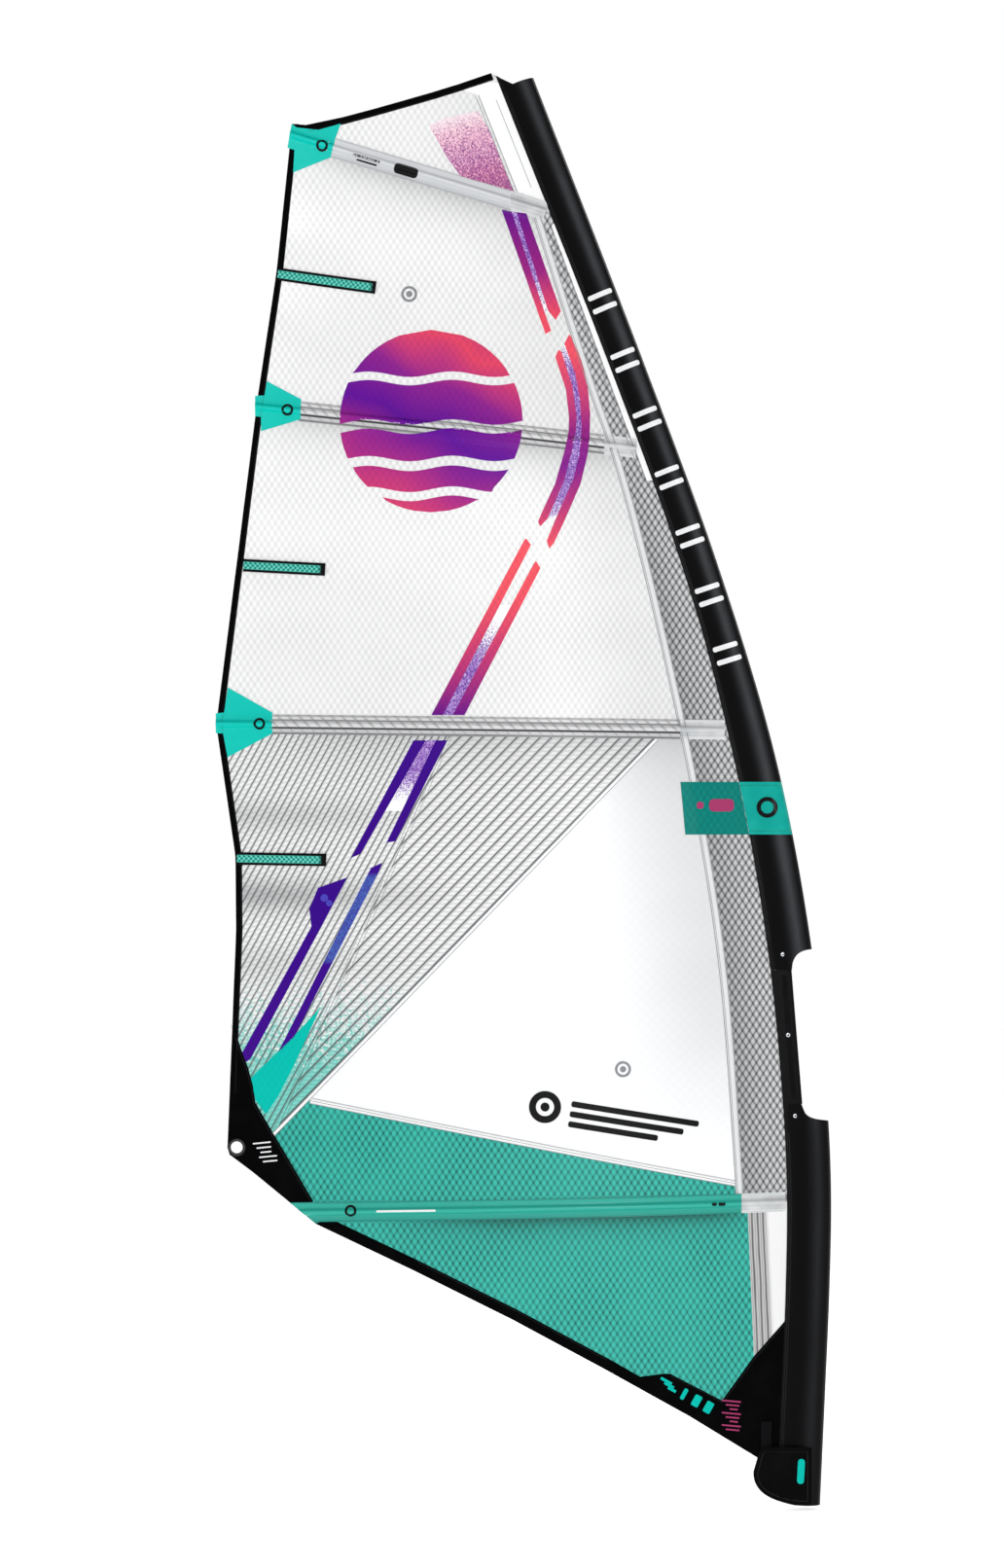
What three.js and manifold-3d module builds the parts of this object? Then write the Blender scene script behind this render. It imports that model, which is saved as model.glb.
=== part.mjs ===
// A windsurf wave sail, rigged and standing upright, without its mast, boom and base.
// Millimetres. X runs from the leech to the luff, Z up the mast and Y through the sail, so its
// convex leeward side faces -Y. The origin is on the mast's axis, in the mouth of the luff sleeve.
import * as THREE from 'three';
import { mergeVertices } from 'three/addons/utils/BufferGeometryUtils.js';
import Module from 'manifold-3d';

const wasm = await Module();
wasm.setup();

// ---------------------------------------------------------------- driving dimensions

const GAP = 0.3; // between touching pieces
const LUFF_GAP = 1; // between the panels and the sleeve, whose facets don't line up
const CLOTH = 1.2; // thickness of a panel
const GRID = 118; // spacing of the facets of the sailcloth
const THROUGH = 600; // a cutting prism reaches this far through the sail

const HEAD_TIP = [-911, 4114];
const HEAD_CORNER = [-1481, 3960];
const HEAD_HOLLOW = [[-1441, 3958], [-1335, 3982], [-1252, 4005], [-1170, 4029], [-1080, 4056],
  [-1006, 4080]];
const CLEW_TIP = [-1663, 1006];
const TACK = [-143, 134];
const LEECH = [HEAD_CORNER, [-1526, 3540], [-1579, 3192], [-1701, 2242], [-1646, 1864],
  [-1644, 1655], [-1669, 1026]];
const FOOT = [[-1596, 956], [-1414, 808], [-1132, 676], [-850, 537], [-590, 397],
  [-341, 257], TACK];
const LEECH_TAPE = 19;
const HEAD_TAPE = 21;
const FOOT_TAPE = 31;
const TAPE_THICKNESS = 2.4;
const LEECH_TAPE_FROM = 1180; // where the leech tape starts, above the clew
const FOOT_TAPE_RUN = [-1422, -398]; // between the clew's patch and the tack's

// Cuts and seams run on past the sail's edges to these lines.
const AFT = -2000;
const FORE = 200;
const TOP = 4300;

// The sail's fullness as a share of its chord, and the chord's fullest point.
const DRAFT = [[0, 0.02], [850, 0.042], [1500, 0.052], [2240, 0.056], [3040, 0.048],
  [3720, 0.034], [4200, 0.02]];
const FULLEST_AT = 0.38;
const SAG = 12; // how far the cloth lies back between two battens
const TWIST = 70; // how far the head's leech falls off to leeward
const BOOM_HEIGHT = 1350;

const SLEEVE_FRONT = [[0, 32], [325, 47], [605, 59], [885, 64], [1105, 56], [1600, 8],
  [2145, -95], [2705, -263], [3260, -466], [4100, -792], [4200, -831]];
const SLEEVE_WIDTH = [[0, 124], [2150, 119], [2600, 104], [4200, 104]];
const SLEEVE_WALL = 1.6;
const SLEEVE_SEAM = 14; // the sewn strip along the sleeve's back edge
const SLEEVE_EDGE = 2.5; // half the thickness of that strip
const MAST_ROOM = { length: 34, depth: 27 }; // half sizes of the sleeve's round front
const SLEEVE_ARC = 105; // degrees that the mast pocket's round front reaches either way
const SLEEVE_STEP = 140;
const SLEEVE_JOINS = { band: [1926, 2077], head: 4114, upper: [2077, 2480, 2885, 3290, 3700] };
const SLEEVE_MOUTH = { from: -36, to: -200, rise: 60, pull: [-90, 4] }; // its sweep upwards
const HEAD_NOTCH = [[-950, 4130], HEAD_TIP, [-850, 4081], [-760, 4109], [-740, 4200],
  [-950, 4200]];

const CUTOUT = { top: 1537, bottom: 1151, topX: -48, bottomX: -17, radius: 59, lip: 47,
  sweep: 73 };
const CUTOUT_STRIP = { edge: 4, half: 3 };
const WEBBING = { from: 1165, to: 1522, lowX: -40, highX: -70, half: 7, near: 3.4, far: 4.8 };
const BAND_BACK = [-355, -369]; // the printed band's end on the panel, at its foot and its head
const BATTENS = [
  { name: 'bottom', leech: [-1453, 841], luff: [-66, 871], rod: 5, coverFrom: -1500 },
  { name: 'lower', leech: [-1701, 2244], luff: [-240, 2226], rod: 4.5, coverFrom: -1545,
    guard: [[-1703, 2278], [-1669, 2348], [-1539, 2272], [-1539, 2216], [-1666, 2147],
      [-1703, 2214]] },
  { name: 'upper', leech: [-1585, 3153], luff: [-494, 3035], rod: 4, coverFrom: -1460,
    guard: [[-1589, 3186], [-1554, 3226], [-1456, 3172], [-1456, 3119], [-1572, 3083],
      [-1589, 3123]] },
  { name: 'top', leech: [-1487, 3930], luff: [-754, 3716], rod: 3.5, coverFrom: -1380,
    guard: [[-1481, 3960], [-1342, 3965], [-1357, 3921], [-1371, 3866], [-1480, 3822],
      [-1496, 3899]] },
];
const POCKET_WIDTH = 56;
const BATTEN_OFF = 7.6; // from the cloth's middle to a batten's axis
const COVER_BASE = 2.8; // from the cloth's middle to a batten cover's flat edges
const COVER_ARCH = { foot: 4, side: 1.2, crown: 0.6, rise: 1 };
const COVER_STEP = 140;
const GUARD = { from: -20, to: 175, half: 90, play: 1.4 }; // its play is around the tensioner
const MINI_BATTENS = [
  { name: 'mini_batten_lower', from: [-1641, 1857], to: [-1384, 1853] },
  { name: 'mini_batten_middle', from: [-1622, 2699], to: [-1387, 2686] },
  { name: 'mini_batten_upper', from: [-1522, 3532], to: [-1242, 3494] },
];
const MINI = { width: 36, thickness: 4, off: 4 };
const TENSIONER = { screw: 3, bore: 3.3, plug: 5.6, plugLength: 18, shank: 31, head: 5.4,
  headLength: 5, socket: 2.3, socketDepth: 3, fromLeech: 9, travel: 12 };
const TIP = { wall: 1.6, length: 30, nose: 8, socket: 8, play: 0.4 };
const CLEW_EYE = { x: -1642, y: -1.2, z: 1027, hole: 17, barrel: 19.5, flange: 25, inner: 2.8,
  outer: 4.4 };
const PULLEY = { x: -121, z: 62, roller: 9.5, groove: 7, width: 11, space: 12, bore: 3.15,
  axle: 3, axleHead: 5, headThickness: 2, cheek: 3, cheekWidth: 24, below: 13, above: 22,
  play: 0.5 };
const STRAP = { half: 15, thickness: 2, off: 4, lift: 2, heights: [130, 185, 240] };
const FLAP = { plan: [[8, -36], [-30, -35], [-90, -28], [-140, -19], [-160, -9]], thickness: 5,
  bottom: 3, top: 168, cornerX: -140, side: [-158, 96], pull: [-162, 20], toeX: -36 };
const CUP_HEIGHT = 4008;
const CUP_PROFILE = [[0, 56], [15.5, 54], [15.5, 0], [18, 0], [18, 56], [14, 64], [0, 64]];
const MAST_LEAN = 21; // degrees, at the sleeve's head

const COLOURS = { film: 0xeef0f2, mesh: 0xa9adb2, teal: 0x14bfae, black: 0x101113,
  grey: 0x9b9ea3, steel: 0xc9ccd0, carbon: 0x2a2c30, clear: 0xdfe6ea };

// ---------------------------------------------------------------- lines of the sail

/** A smooth or a straight-sided line through [at, value] points, as a function of at. */
function lineThrough(points, Kind) {
  const line = new Kind(points.map((p) => p[0]), points.map((p) => p[1]), 1);
  return (at) => line.evaluate(at)[0];
}
const smooth = (points) => lineThrough(points, THREE.CubicInterpolant);
const straight = (points) => lineThrough(points, THREE.LinearInterpolant);

const sleeveFront = smooth(SLEEVE_FRONT);
const sleeveWidth = smooth(SLEEVE_WIDTH);
const sleeveBack = (z) => sleeveFront(z) - sleeveWidth(z);
const leechLine = straight([[0, -1640], [2242, -1701], [3960, -1481], [4200, -1450]]);
const draft = smooth(DRAFT);
const meshEdge = smooth([[835, -193], [970, -201], [1545, -246], [1923, -302], [2297, -374],
  [2993, -545], [3206, -619], [3740, -790]]);

/** The height of a batten's centre line at x. */
function battenHeight({ leech, luff }, x) {
  return leech[1] + (luff[1] - leech[1]) * (x - leech[0]) / (luff[0] - leech[0]);
}

/** How far the cloth at (x, z) lies back between the two battens around it. */
function sagAt(x, z, u) {
  const heights = BATTENS.map((batten) => battenHeight(batten, x));
  const above = heights.findIndex((height) => height > z);
  if (above < 1) return 0;
  const share = (z - heights[above - 1]) / (heights[above] - heights[above - 1]);
  return SAG * Math.sin(Math.PI * share) ** 2 * 4 * u * (1 - u);
}

/** The Y of the middle of the sailcloth at (x, z). */
function clothY(x, z) {
  const chord = sleeveBack(z) - leechLine(z);
  const u = Math.min((sleeveBack(z) - x) / chord, 1);
  const falling = 1 / FULLEST_AT - 1;
  const full = u * (1 - u) ** falling / (FULLEST_AT * (1 - FULLEST_AT) ** falling);
  const aloft = Math.max(0, z - BOOM_HEIGHT) / (HEAD_TIP[1] - BOOM_HEIGHT);
  return sagAt(x, z, u) - draft(z) * chord * full - TWIST * aloft ** 2 * u ** 2;
}

// ---------------------------------------------------------------- solids

/** A closed solid from a geometry whose faces all point out. */
function toSolid(geometry) {
  geometry.deleteAttribute('normal');
  geometry.deleteAttribute('uv');
  const merged = mergeVertices(geometry, 1e-3);
  return new wasm.Manifold(new wasm.Mesh({
    numProp: 3,
    vertProperties: new Float32Array(merged.attributes.position.array),
    triVerts: new Uint32Array(merged.index.array),
  }));
}

/** The biggest of a solid's bodies: a cut along a facet's edge can leave a sliver behind. */
function mainBody(solid) {
  return solid.decompose().reduce((a, b) => (a.volume() > b.volume() ? a : b));
}

function toGeometry(solid) {
  const mesh = mainBody(solid).getMesh();
  const geometry = new THREE.BufferGeometry();
  geometry.setAttribute('position', new THREE.BufferAttribute(mesh.vertProperties, 3));
  geometry.setIndex(new THREE.BufferAttribute(mesh.triVerts, 1));
  return geometry;
}

function indexed(points, triangles) {
  const geometry = new THREE.BufferGeometry().setFromPoints(points);
  geometry.setIndex(triangles.flat());
  return toSolid(geometry);
}

/** A solid between two sheets of points, front[i][j] and back[i][j], i going +X and j going +Z. */
function slab(front, back) {
  const columns = front.length;
  const rows = front[0].length;
  const points = [...front.flat(), ...back.flat()];
  const triangles = [];
  const quad = (a, b, c, d) => triangles.push([a, b, c], [a, c, d]);
  const f = (i, j) => i * rows + j;
  const b = (i, j) => columns * rows + i * rows + j;
  for (let i = 0; i < columns - 1; i += 1) {
    for (let j = 0; j < rows - 1; j += 1) {
      quad(f(i, j), f(i + 1, j), f(i + 1, j + 1), f(i, j + 1));
      quad(b(i, j), b(i, j + 1), b(i + 1, j + 1), b(i + 1, j));
    }
    quad(f(i, 0), b(i, 0), b(i + 1, 0), f(i + 1, 0));
    quad(f(i, rows - 1), f(i + 1, rows - 1), b(i + 1, rows - 1), b(i, rows - 1));
  }
  for (let j = 0; j < rows - 1; j += 1) {
    quad(f(0, j), f(0, j + 1), b(0, j + 1), b(0, j));
    quad(f(columns - 1, j), b(columns - 1, j), b(columns - 1, j + 1), f(columns - 1, j + 1));
  }
  return indexed(points, triangles);
}

/** A solid through rings of points that run anticlockwise seen from +Z, the lowest ring first. */
function loft(rings) {
  const size = rings[0].length;
  const last = (rings.length - 1) * size;
  const triangles = [];
  for (let k = 0; k < size; k += 1) {
    const next = (k + 1) % size;
    for (let r = 0; r < last; r += size) {
      triangles.push([r + k, r + next, r + size + next], [r + k, r + size + next, r + size + k]);
    }
    if (k > 0 && next > 0) triangles.push([0, next, k], [last, last + k, last + next]);
  }
  return indexed(rings.flat(), triangles);
}

/** A turned part: its profile of [radius, height] points, turned about +Z. */
const turned = (profile, segments = 12) => toSolid(new THREE.LatheGeometry(
  profile.map(([r, h]) => new THREE.Vector2(r, h)), segments).rotateX(Math.PI / 2));

/** A prism right through the sail over an outline of [x, z] points or a THREE.Shape. */
function prism(outline) {
  const shape = outline instanceof THREE.Shape
    ? outline : new THREE.Shape(outline.map(([x, z]) => new THREE.Vector2(x, z)));
  const geometry = new THREE.ExtrudeGeometry(shape,
    { depth: THROUGH, bevelEnabled: false, curveSegments: 6 });
  return toSolid(geometry.rotateX(Math.PI / 2).translate(0, THROUGH / 2, 0));
}

/** A prism over the rectangle between two opposite corners. */
const zone = ([x0, z0], [x1, z1]) => prism([[x0, z0], [x1, z0], [x1, z1], [x0, z1]]);

/** Values from a to b, evenly spaced and at most step apart. */
function spaced(a, b, step) {
  const parts = Math.ceil(Math.abs(b - a) / step);
  return Array.from({ length: parts + 1 }, (_, i) => a + (b - a) * i / parts);
}

/** A sheet of the whole sail's shape, its middle lying offset to leeward of the cloth's. */
function sailSheet(thickness, offset = 0) {
  const xs = spaced(-1760, 70, GRID);
  const zs = spaced(60, 4180, GRID);
  const sheet = (shift) => xs.map((x) => zs.map((z) => (
    new THREE.Vector3(x, clothY(x, z) - offset + shift, z))));
  return slab(sheet(-thickness / 2), sheet(thickness / 2));
}

const film = sailSheet(CLOTH);
const tapeStock = sailSheet(TAPE_THICKNESS);

// ---------------------------------------------------------------- the assembly

const sail = new THREE.Group();

function add(name, solid, colour, roughness = 0.5, metalness = 0) {
  const geometry = solid.isBufferGeometry ? solid : toGeometry(solid);
  const material = new THREE.MeshStandardMaterial({ color: colour, roughness, metalness });
  const mesh = new THREE.Mesh(geometry, material);
  mesh.name = name;
  sail.add(mesh);
  return mesh;
}

// ---------------------------------------------------------------- edge tapes and panels

const moved = (line, dx, dz) => line.map(([x, z]) => [x + dx, z + dz]);

/** The line at a distance to the left of a line of points, seen along it with +Y away. */
function beside(line, distance) {
  return line.map(([x, z], i) => {
    const [x0, z0] = line[Math.max(i - 1, 0)];
    const [x1, z1] = line[Math.min(i + 1, line.length - 1)];
    const length = Math.hypot(x1 - x0, z1 - z0);
    return [x - distance * (z1 - z0) / length, z + distance * (x1 - x0) / length];
  });
}

const strip = (line, width) => prism([...line, ...beside(line, width).reverse()]);

const sleeveSide = (low, high) => spaced(low, high, 130).map((z) => [sleeveBack(z) - LUFF_GAP, z]);
const headLine = [HEAD_CORNER, ...HEAD_HOLLOW, HEAD_TIP];
const footLine = [[-1424, 817], ...FOOT.slice(1)];
const leechDown = [...LEECH, CLEW_TIP];
const outline = prism([...leechDown, ...FOOT, ...sleeveSide(TACK[1], HEAD_TIP[1]), HEAD_TIP,
  ...HEAD_HOLLOW.toReversed()]);

// The bands that the edge tapes take up, grown where the cloth has to clear them.
const headBand = (grown) => strip(headLine, -HEAD_TAPE - grown);
const leechBand = (grown) => strip(LEECH, LEECH_TAPE + grown)
  .intersect(zone([AFT, LEECH_TAPE_FROM - grown], [0, TOP]));
const footBand = (grown) => strip(footLine, FOOT_TAPE + grown)
  .intersect(zone([FOOT_TAPE_RUN[0] - grown, 0], [FOOT_TAPE_RUN[1] + grown, TOP]));

const edging = tapeStock.intersect(outline);
add('head_tape', edging.intersect(headBand(0)), COLOURS.black, 0.6);
add('leech_tape', edging.subtract(headBand(GAP)).intersect(leechBand(0)), COLOURS.black, 0.6);
add('foot_tape', edging.intersect(footBand(0)), COLOURS.black, 0.6);

const cloth = film.intersect(outline).subtract(headBand(GAP)).subtract(leechBand(GAP))
  .subtract(footBand(GAP));

const MESH_RUN = [868, 3740]; // the heights between which the mesh meets the sail's film
const battenSeam = (batten) => [AFT, FORE].map((x) => [x, battenHeight(batten, x)]);
const [bottomSeam, lowerSeam, upperSeam, topSeam] = BATTENS.map(battenSeam);
const meshSeam = spaced(...MESH_RUN, 130).map((z) => [meshEdge(z), z]);
const radialSeam = [[-1532, 1065], [-404, 2230], [-380, 2255]];
const windowSeam = [[-1437, 1163], [-193, 922], [FORE, 846]];
const clewEdge = [[-1660, 1400], [-1627, 1302], [-1610, 1258], [-1596, 1207], [-1588, 1154],
  [-1540, 1072], [-1423, 876], [-1423, 700]];
const tackEdge = [[-397, 100], [-397, 380], [-249, 302], [-157, 428], [-67, 528], [0, 604]];
const cordEdge = [[-178, 900], [-154, 424], [-154, 300]];
const aboveTop = [[AFT, TOP], [FORE, TOP]];
const belowFoot = [[AFT, 0], [FORE, 0]];

/** The part of the cloth between two seams, the lower one first. */
const between = (low, high, stock = cloth) => stock.intersect(prism([...moved(low, 0, GAP / 2),
  ...moved(high, 0, -GAP / 2).reverse()]));

// Regions of the sail behind an edge, grown sideways and upwards for a neighbour to clear them.
const clewRegion = (grown) => prism([[AFT, clewEdge[0][1] + grown],
  ...moved(clewEdge, grown, grown), [AFT, 700]]);
const tackRegion = (grown) => prism([...moved(tackEdge, -grown, grown), [FORE, 100]]);
const meshRegion = (grown) => prism([...moved(meshSeam, -grown, 0), [FORE, MESH_RUN[1]],
  [FORE, MESH_RUN[0]]]);
const cordRegion = (grown) => prism([...moved(cordEdge, -grown, 0), [FORE, 300], [FORE, 900]]);

add('head_panel', between(topSeam, aboveTop), COLOURS.film);
add('upper_panel', between(upperSeam, topSeam).subtract(meshRegion(GAP)), COLOURS.film);
add('middle_panel', between(lowerSeam, upperSeam).subtract(meshRegion(GAP)), COLOURS.film);
const belowLower = between(belowFoot, lowerSeam).subtract(clewRegion(GAP));
const radialEdge = [[AFT, 788], ...radialSeam];
const luffwardX = radialSeam[radialSeam.length - 1][0];
add('radial_panel', belowLower.intersect(prism([...moved(radialEdge, -GAP / 2, GAP / 2),
  [luffwardX, TOP], [AFT, TOP]])), COLOURS.film);
const underRadial = belowLower.intersect(prism([...moved(radialEdge, GAP / 2, -GAP / 2),
  [luffwardX, TOP], [FORE, TOP], [FORE, 0], [AFT, 0]])).subtract(meshRegion(GAP));
const windowTop = [[windowSeam[0][0], TOP], [FORE, TOP]];
add('window_panel', between(windowSeam, windowTop, underRadial), COLOURS.clear, 0.2);
const footCloth = underRadial.subtract(prism([...moved(windowSeam, 0, -GAP / 2),
  ...windowTop.toReversed()]));
add('foot_panel_upper', between(bottomSeam, aboveTop, footCloth), COLOURS.teal);
add('foot_panel_lower', between(belowFoot, bottomSeam, footCloth).subtract(tackRegion(GAP))
  .subtract(cordRegion(GAP)), COLOURS.teal);
add('luff_mesh_panel', between(bottomSeam, topSeam).intersect(meshRegion(0)), COLOURS.mesh, 0.7);
add('luff_cord_panel', between(belowFoot, bottomSeam).intersect(cordRegion(0))
  .subtract(tackRegion(GAP)), COLOURS.mesh, 0.7);

const eye = new THREE.Vector3(CLEW_EYE.x, CLEW_EYE.y, CLEW_EYE.z);
const clewHole = toSolid(new THREE.CylinderGeometry(CLEW_EYE.barrel + GAP,
  CLEW_EYE.barrel + GAP, 60, 24).translate(...eye));
add('clew_patch', edging.intersect(clewRegion(0)).subtract(leechBand(GAP)).subtract(clewHole),
  COLOURS.black, 0.6);
add('tack_patch', edging.intersect(tackRegion(0)), COLOURS.black, 0.6);

const ringProfile = [[CLEW_EYE.hole, -CLEW_EYE.outer], [CLEW_EYE.flange, -CLEW_EYE.outer],
  [CLEW_EYE.flange, -CLEW_EYE.inner], [CLEW_EYE.barrel, -CLEW_EYE.inner],
  [CLEW_EYE.barrel, CLEW_EYE.inner], [CLEW_EYE.flange, CLEW_EYE.inner],
  [CLEW_EYE.flange, CLEW_EYE.outer], [CLEW_EYE.hole, CLEW_EYE.outer]];
const clewRing = add('clew_ring', toSolid(new THREE.LatheGeometry(
  [...ringProfile, ringProfile[0]].map(([r, y]) => new THREE.Vector2(r, y)), 24)),
  COLOURS.black, 0.35);
clewRing.position.copy(eye);

// ---------------------------------------------------------------- the luff sleeve

/** The sleeve's drop-shaped section at height z, inset by its wall for the room inside it. */
function sleeveRing(z, inset) {
  const back = sleeveBack(z) + (inset ? SLEEVE_SEAM : 0);
  const centre = sleeveFront(z) - MAST_ROOM.length;
  const edge = SLEEVE_EDGE - inset;
  const ring = [new THREE.Vector3(back, edge, z), new THREE.Vector3(back, -edge, z)];
  for (const angle of spaced(-SLEEVE_ARC, SLEEVE_ARC, 21)) {
    const turn = THREE.MathUtils.degToRad(angle);
    ring.push(new THREE.Vector3(centre + (MAST_ROOM.length - inset) * Math.cos(turn),
      (MAST_ROOM.depth - inset) * Math.sin(turn), z));
  }
  return ring;
}

function sleeve(low, high) {
  const rings = (inset, past) => spaced(low - past, high + past, SLEEVE_STEP)
    .map((z) => sleeveRing(z, inset));
  return loft(rings(0, 0)).subtract(loft(rings(SLEEVE_WALL, 5)));
}

/** The boom's opening in front of the sleeve, with its rounded ends. */
function boomOpening() {
  const { top, bottom, topX, bottomX, radius, lip, sweep } = CUTOUT;
  const shape = new THREE.Shape();
  shape.moveTo(FORE, top + radius);
  shape.lineTo(topX + radius, top + radius);
  shape.quadraticCurveTo(topX, top + radius, topX, top);
  shape.lineTo(bottomX, bottom);
  shape.quadraticCurveTo(bottomX, bottom - lip, bottomX + sweep, bottom - lip);
  shape.lineTo(FORE, bottom - lip);
  return prism(shape);
}

/** The piece cut off below the sleeve's mouth, which sweeps up towards the sail. */
function mouthSweep() {
  const { from, to, rise, pull } = SLEEVE_MOUTH;
  const shape = new THREE.Shape();
  shape.moveTo(to, -20);
  shape.lineTo(to, rise);
  shape.quadraticCurveTo(...pull, from, 0);
  shape.lineTo(from, -20);
  return prism(shape);
}

const boomCut = boomOpening();
const headNotch = prism(HEAD_NOTCH);
add('sleeve_lower', sleeve(0, CUTOUT.bottom).subtract(boomCut).subtract(mouthSweep()),
  COLOURS.black, 0.7);
add('sleeve_above_boom', sleeve(CUTOUT.top, SLEEVE_JOINS.band[0] - GAP).subtract(boomCut),
  COLOURS.black, 0.7);
add('sleeve_band', sleeve(...SLEEVE_JOINS.band), COLOURS.teal, 0.5);
SLEEVE_JOINS.upper.forEach((low, i) => {
  const last = i === SLEEVE_JOINS.upper.length - 1;
  const high = last ? SLEEVE_JOINS.head : SLEEVE_JOINS.upper[i + 1];
  const section = sleeve(low + GAP, high);
  add(last ? 'sleeve_head' : `sleeve_${i + 1}`, last ? section.subtract(headNotch) : section,
    COLOURS.black, 0.7);
});

/** A value that runs evenly from the foot to the head of the boom's opening. */
const alongCutout = (z, low, high) => (
  THREE.MathUtils.mapLinear(z, CUTOUT.bottom, CUTOUT.top, low, high));
const stripRing = (z) => {
  const { edge, half } = CUTOUT_STRIP;
  const back = sleeveBack(z);
  const front = alongCutout(z, CUTOUT.bottomX, CUTOUT.topX);
  return [[back, -SLEEVE_EDGE], [front - edge, -half], [front, 0], [front - edge, half],
    [back, SLEEVE_EDGE]].map(([x, y]) => new THREE.Vector3(x, y, z));
};
add('cutout_strip', loft(spaced(CUTOUT.bottom + GAP, CUTOUT.top - GAP, SLEEVE_STEP)
  .map(stripRing)), COLOURS.black, 0.7);
const webbingRing = (z) => {
  const { half, near, far } = WEBBING;
  const middle = alongCutout(z, WEBBING.lowX, WEBBING.highX);
  return [[middle - half, -far], [middle + half, -far], [middle + half, -near],
    [middle - half, -near]].map(([x, y]) => new THREE.Vector3(x, y, z));
};
add('cutout_webbing', loft(spaced(WEBBING.from, WEBBING.to, SLEEVE_STEP).map(webbingRing)),
  COLOURS.grey, 0.8);

const [bandLow, bandHigh] = SLEEVE_JOINS.band;
const bandOutline = [[BAND_BACK[1], bandHigh], [sleeveBack(bandHigh) - LUFF_GAP, bandHigh],
  [sleeveBack(bandLow) - LUFF_GAP, bandLow], [BAND_BACK[0], bandLow]];
add('luff_band', sailSheet(CLOTH, CLOTH + GAP).intersect(prism(bandOutline)), COLOURS.teal, 0.5);

const cup = add('mast_tip_cup', turned(CUP_PROFILE, 16), COLOURS.carbon, 0.5);
cup.position.set(sleeveFront(CUP_HEIGHT) - MAST_ROOM.length, 0, CUP_HEIGHT);
cup.rotation.y = -THREE.MathUtils.degToRad(MAST_LEAN);

// ---------------------------------------------------------------- battens

/** Places on a batten: s runs from its leech end, t up the sail, and off to leeward. */
function battenFrame({ leech, luff }) {
  const start = new THREE.Vector2(...leech);
  const along = new THREE.Vector2(...luff).sub(start);
  const length = along.length();
  along.normalize();
  const place = (s, t, off) => {
    const x = start.x + along.x * s - along.y * t;
    const z = start.y + along.y * s + along.x * t;
    return new THREE.Vector3(x, clothY(x, z) - off, z);
  };
  return { length, place, at: (x) => (x - start.x) / along.x };
}

/** A cover from one place to another along a batten, arched over a body of the inner radius. */
function battenCover(frame, from, to, inner, halfWidth) {
  const { foot, side, crown, rise } = COVER_ARCH;
  const profile = [[halfWidth, COVER_BASE], [inner + foot, COVER_BASE],
    [inner + side, BATTEN_OFF], [crown * inner, BATTEN_OFF + inner + rise]];
  const section = [...profile.map(([t, off]) => [-t, off]), ...profile.reverse()];
  const sheet = (raise) => spaced(from, to, COVER_STEP).map((s) => section.map(([t, off]) => (
    frame.place(s, t, off + raise))));
  return slab(sheet(CLOTH), sheet(0));
}

/** Turns a mesh made along +Z so that it lies on a batten from s towards the luff. */
function layOn(frame, mesh, s, length) {
  const from = frame.place(s, 0, BATTEN_OFF);
  const direction = frame.place(s + length, 0, BATTEN_OFF).sub(from).normalize();
  mesh.position.copy(from);
  mesh.quaternion.setFromUnitVectors(new THREE.Vector3(0, 0, 1), direction);
}

const socket = toSolid(new THREE.CylinderGeometry(TENSIONER.socket, TENSIONER.socket,
  2 * TENSIONER.socketDepth, 6).rotateX(Math.PI / 2));
const screw = turned([[0, 0], [TENSIONER.head, 0], [TENSIONER.head, TENSIONER.headLength],
  [TENSIONER.screw, TENSIONER.headLength],
  [TENSIONER.screw, TENSIONER.headLength + TENSIONER.shank],
  [0, TENSIONER.headLength + TENSIONER.shank]]).subtract(socket);
const plug = turned([[TENSIONER.bore, 0], [TENSIONER.plug, 0],
  [TENSIONER.plug, TENSIONER.plugLength], [TENSIONER.bore, TENSIONER.plugLength],
  [TENSIONER.bore, 0]]);

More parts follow.
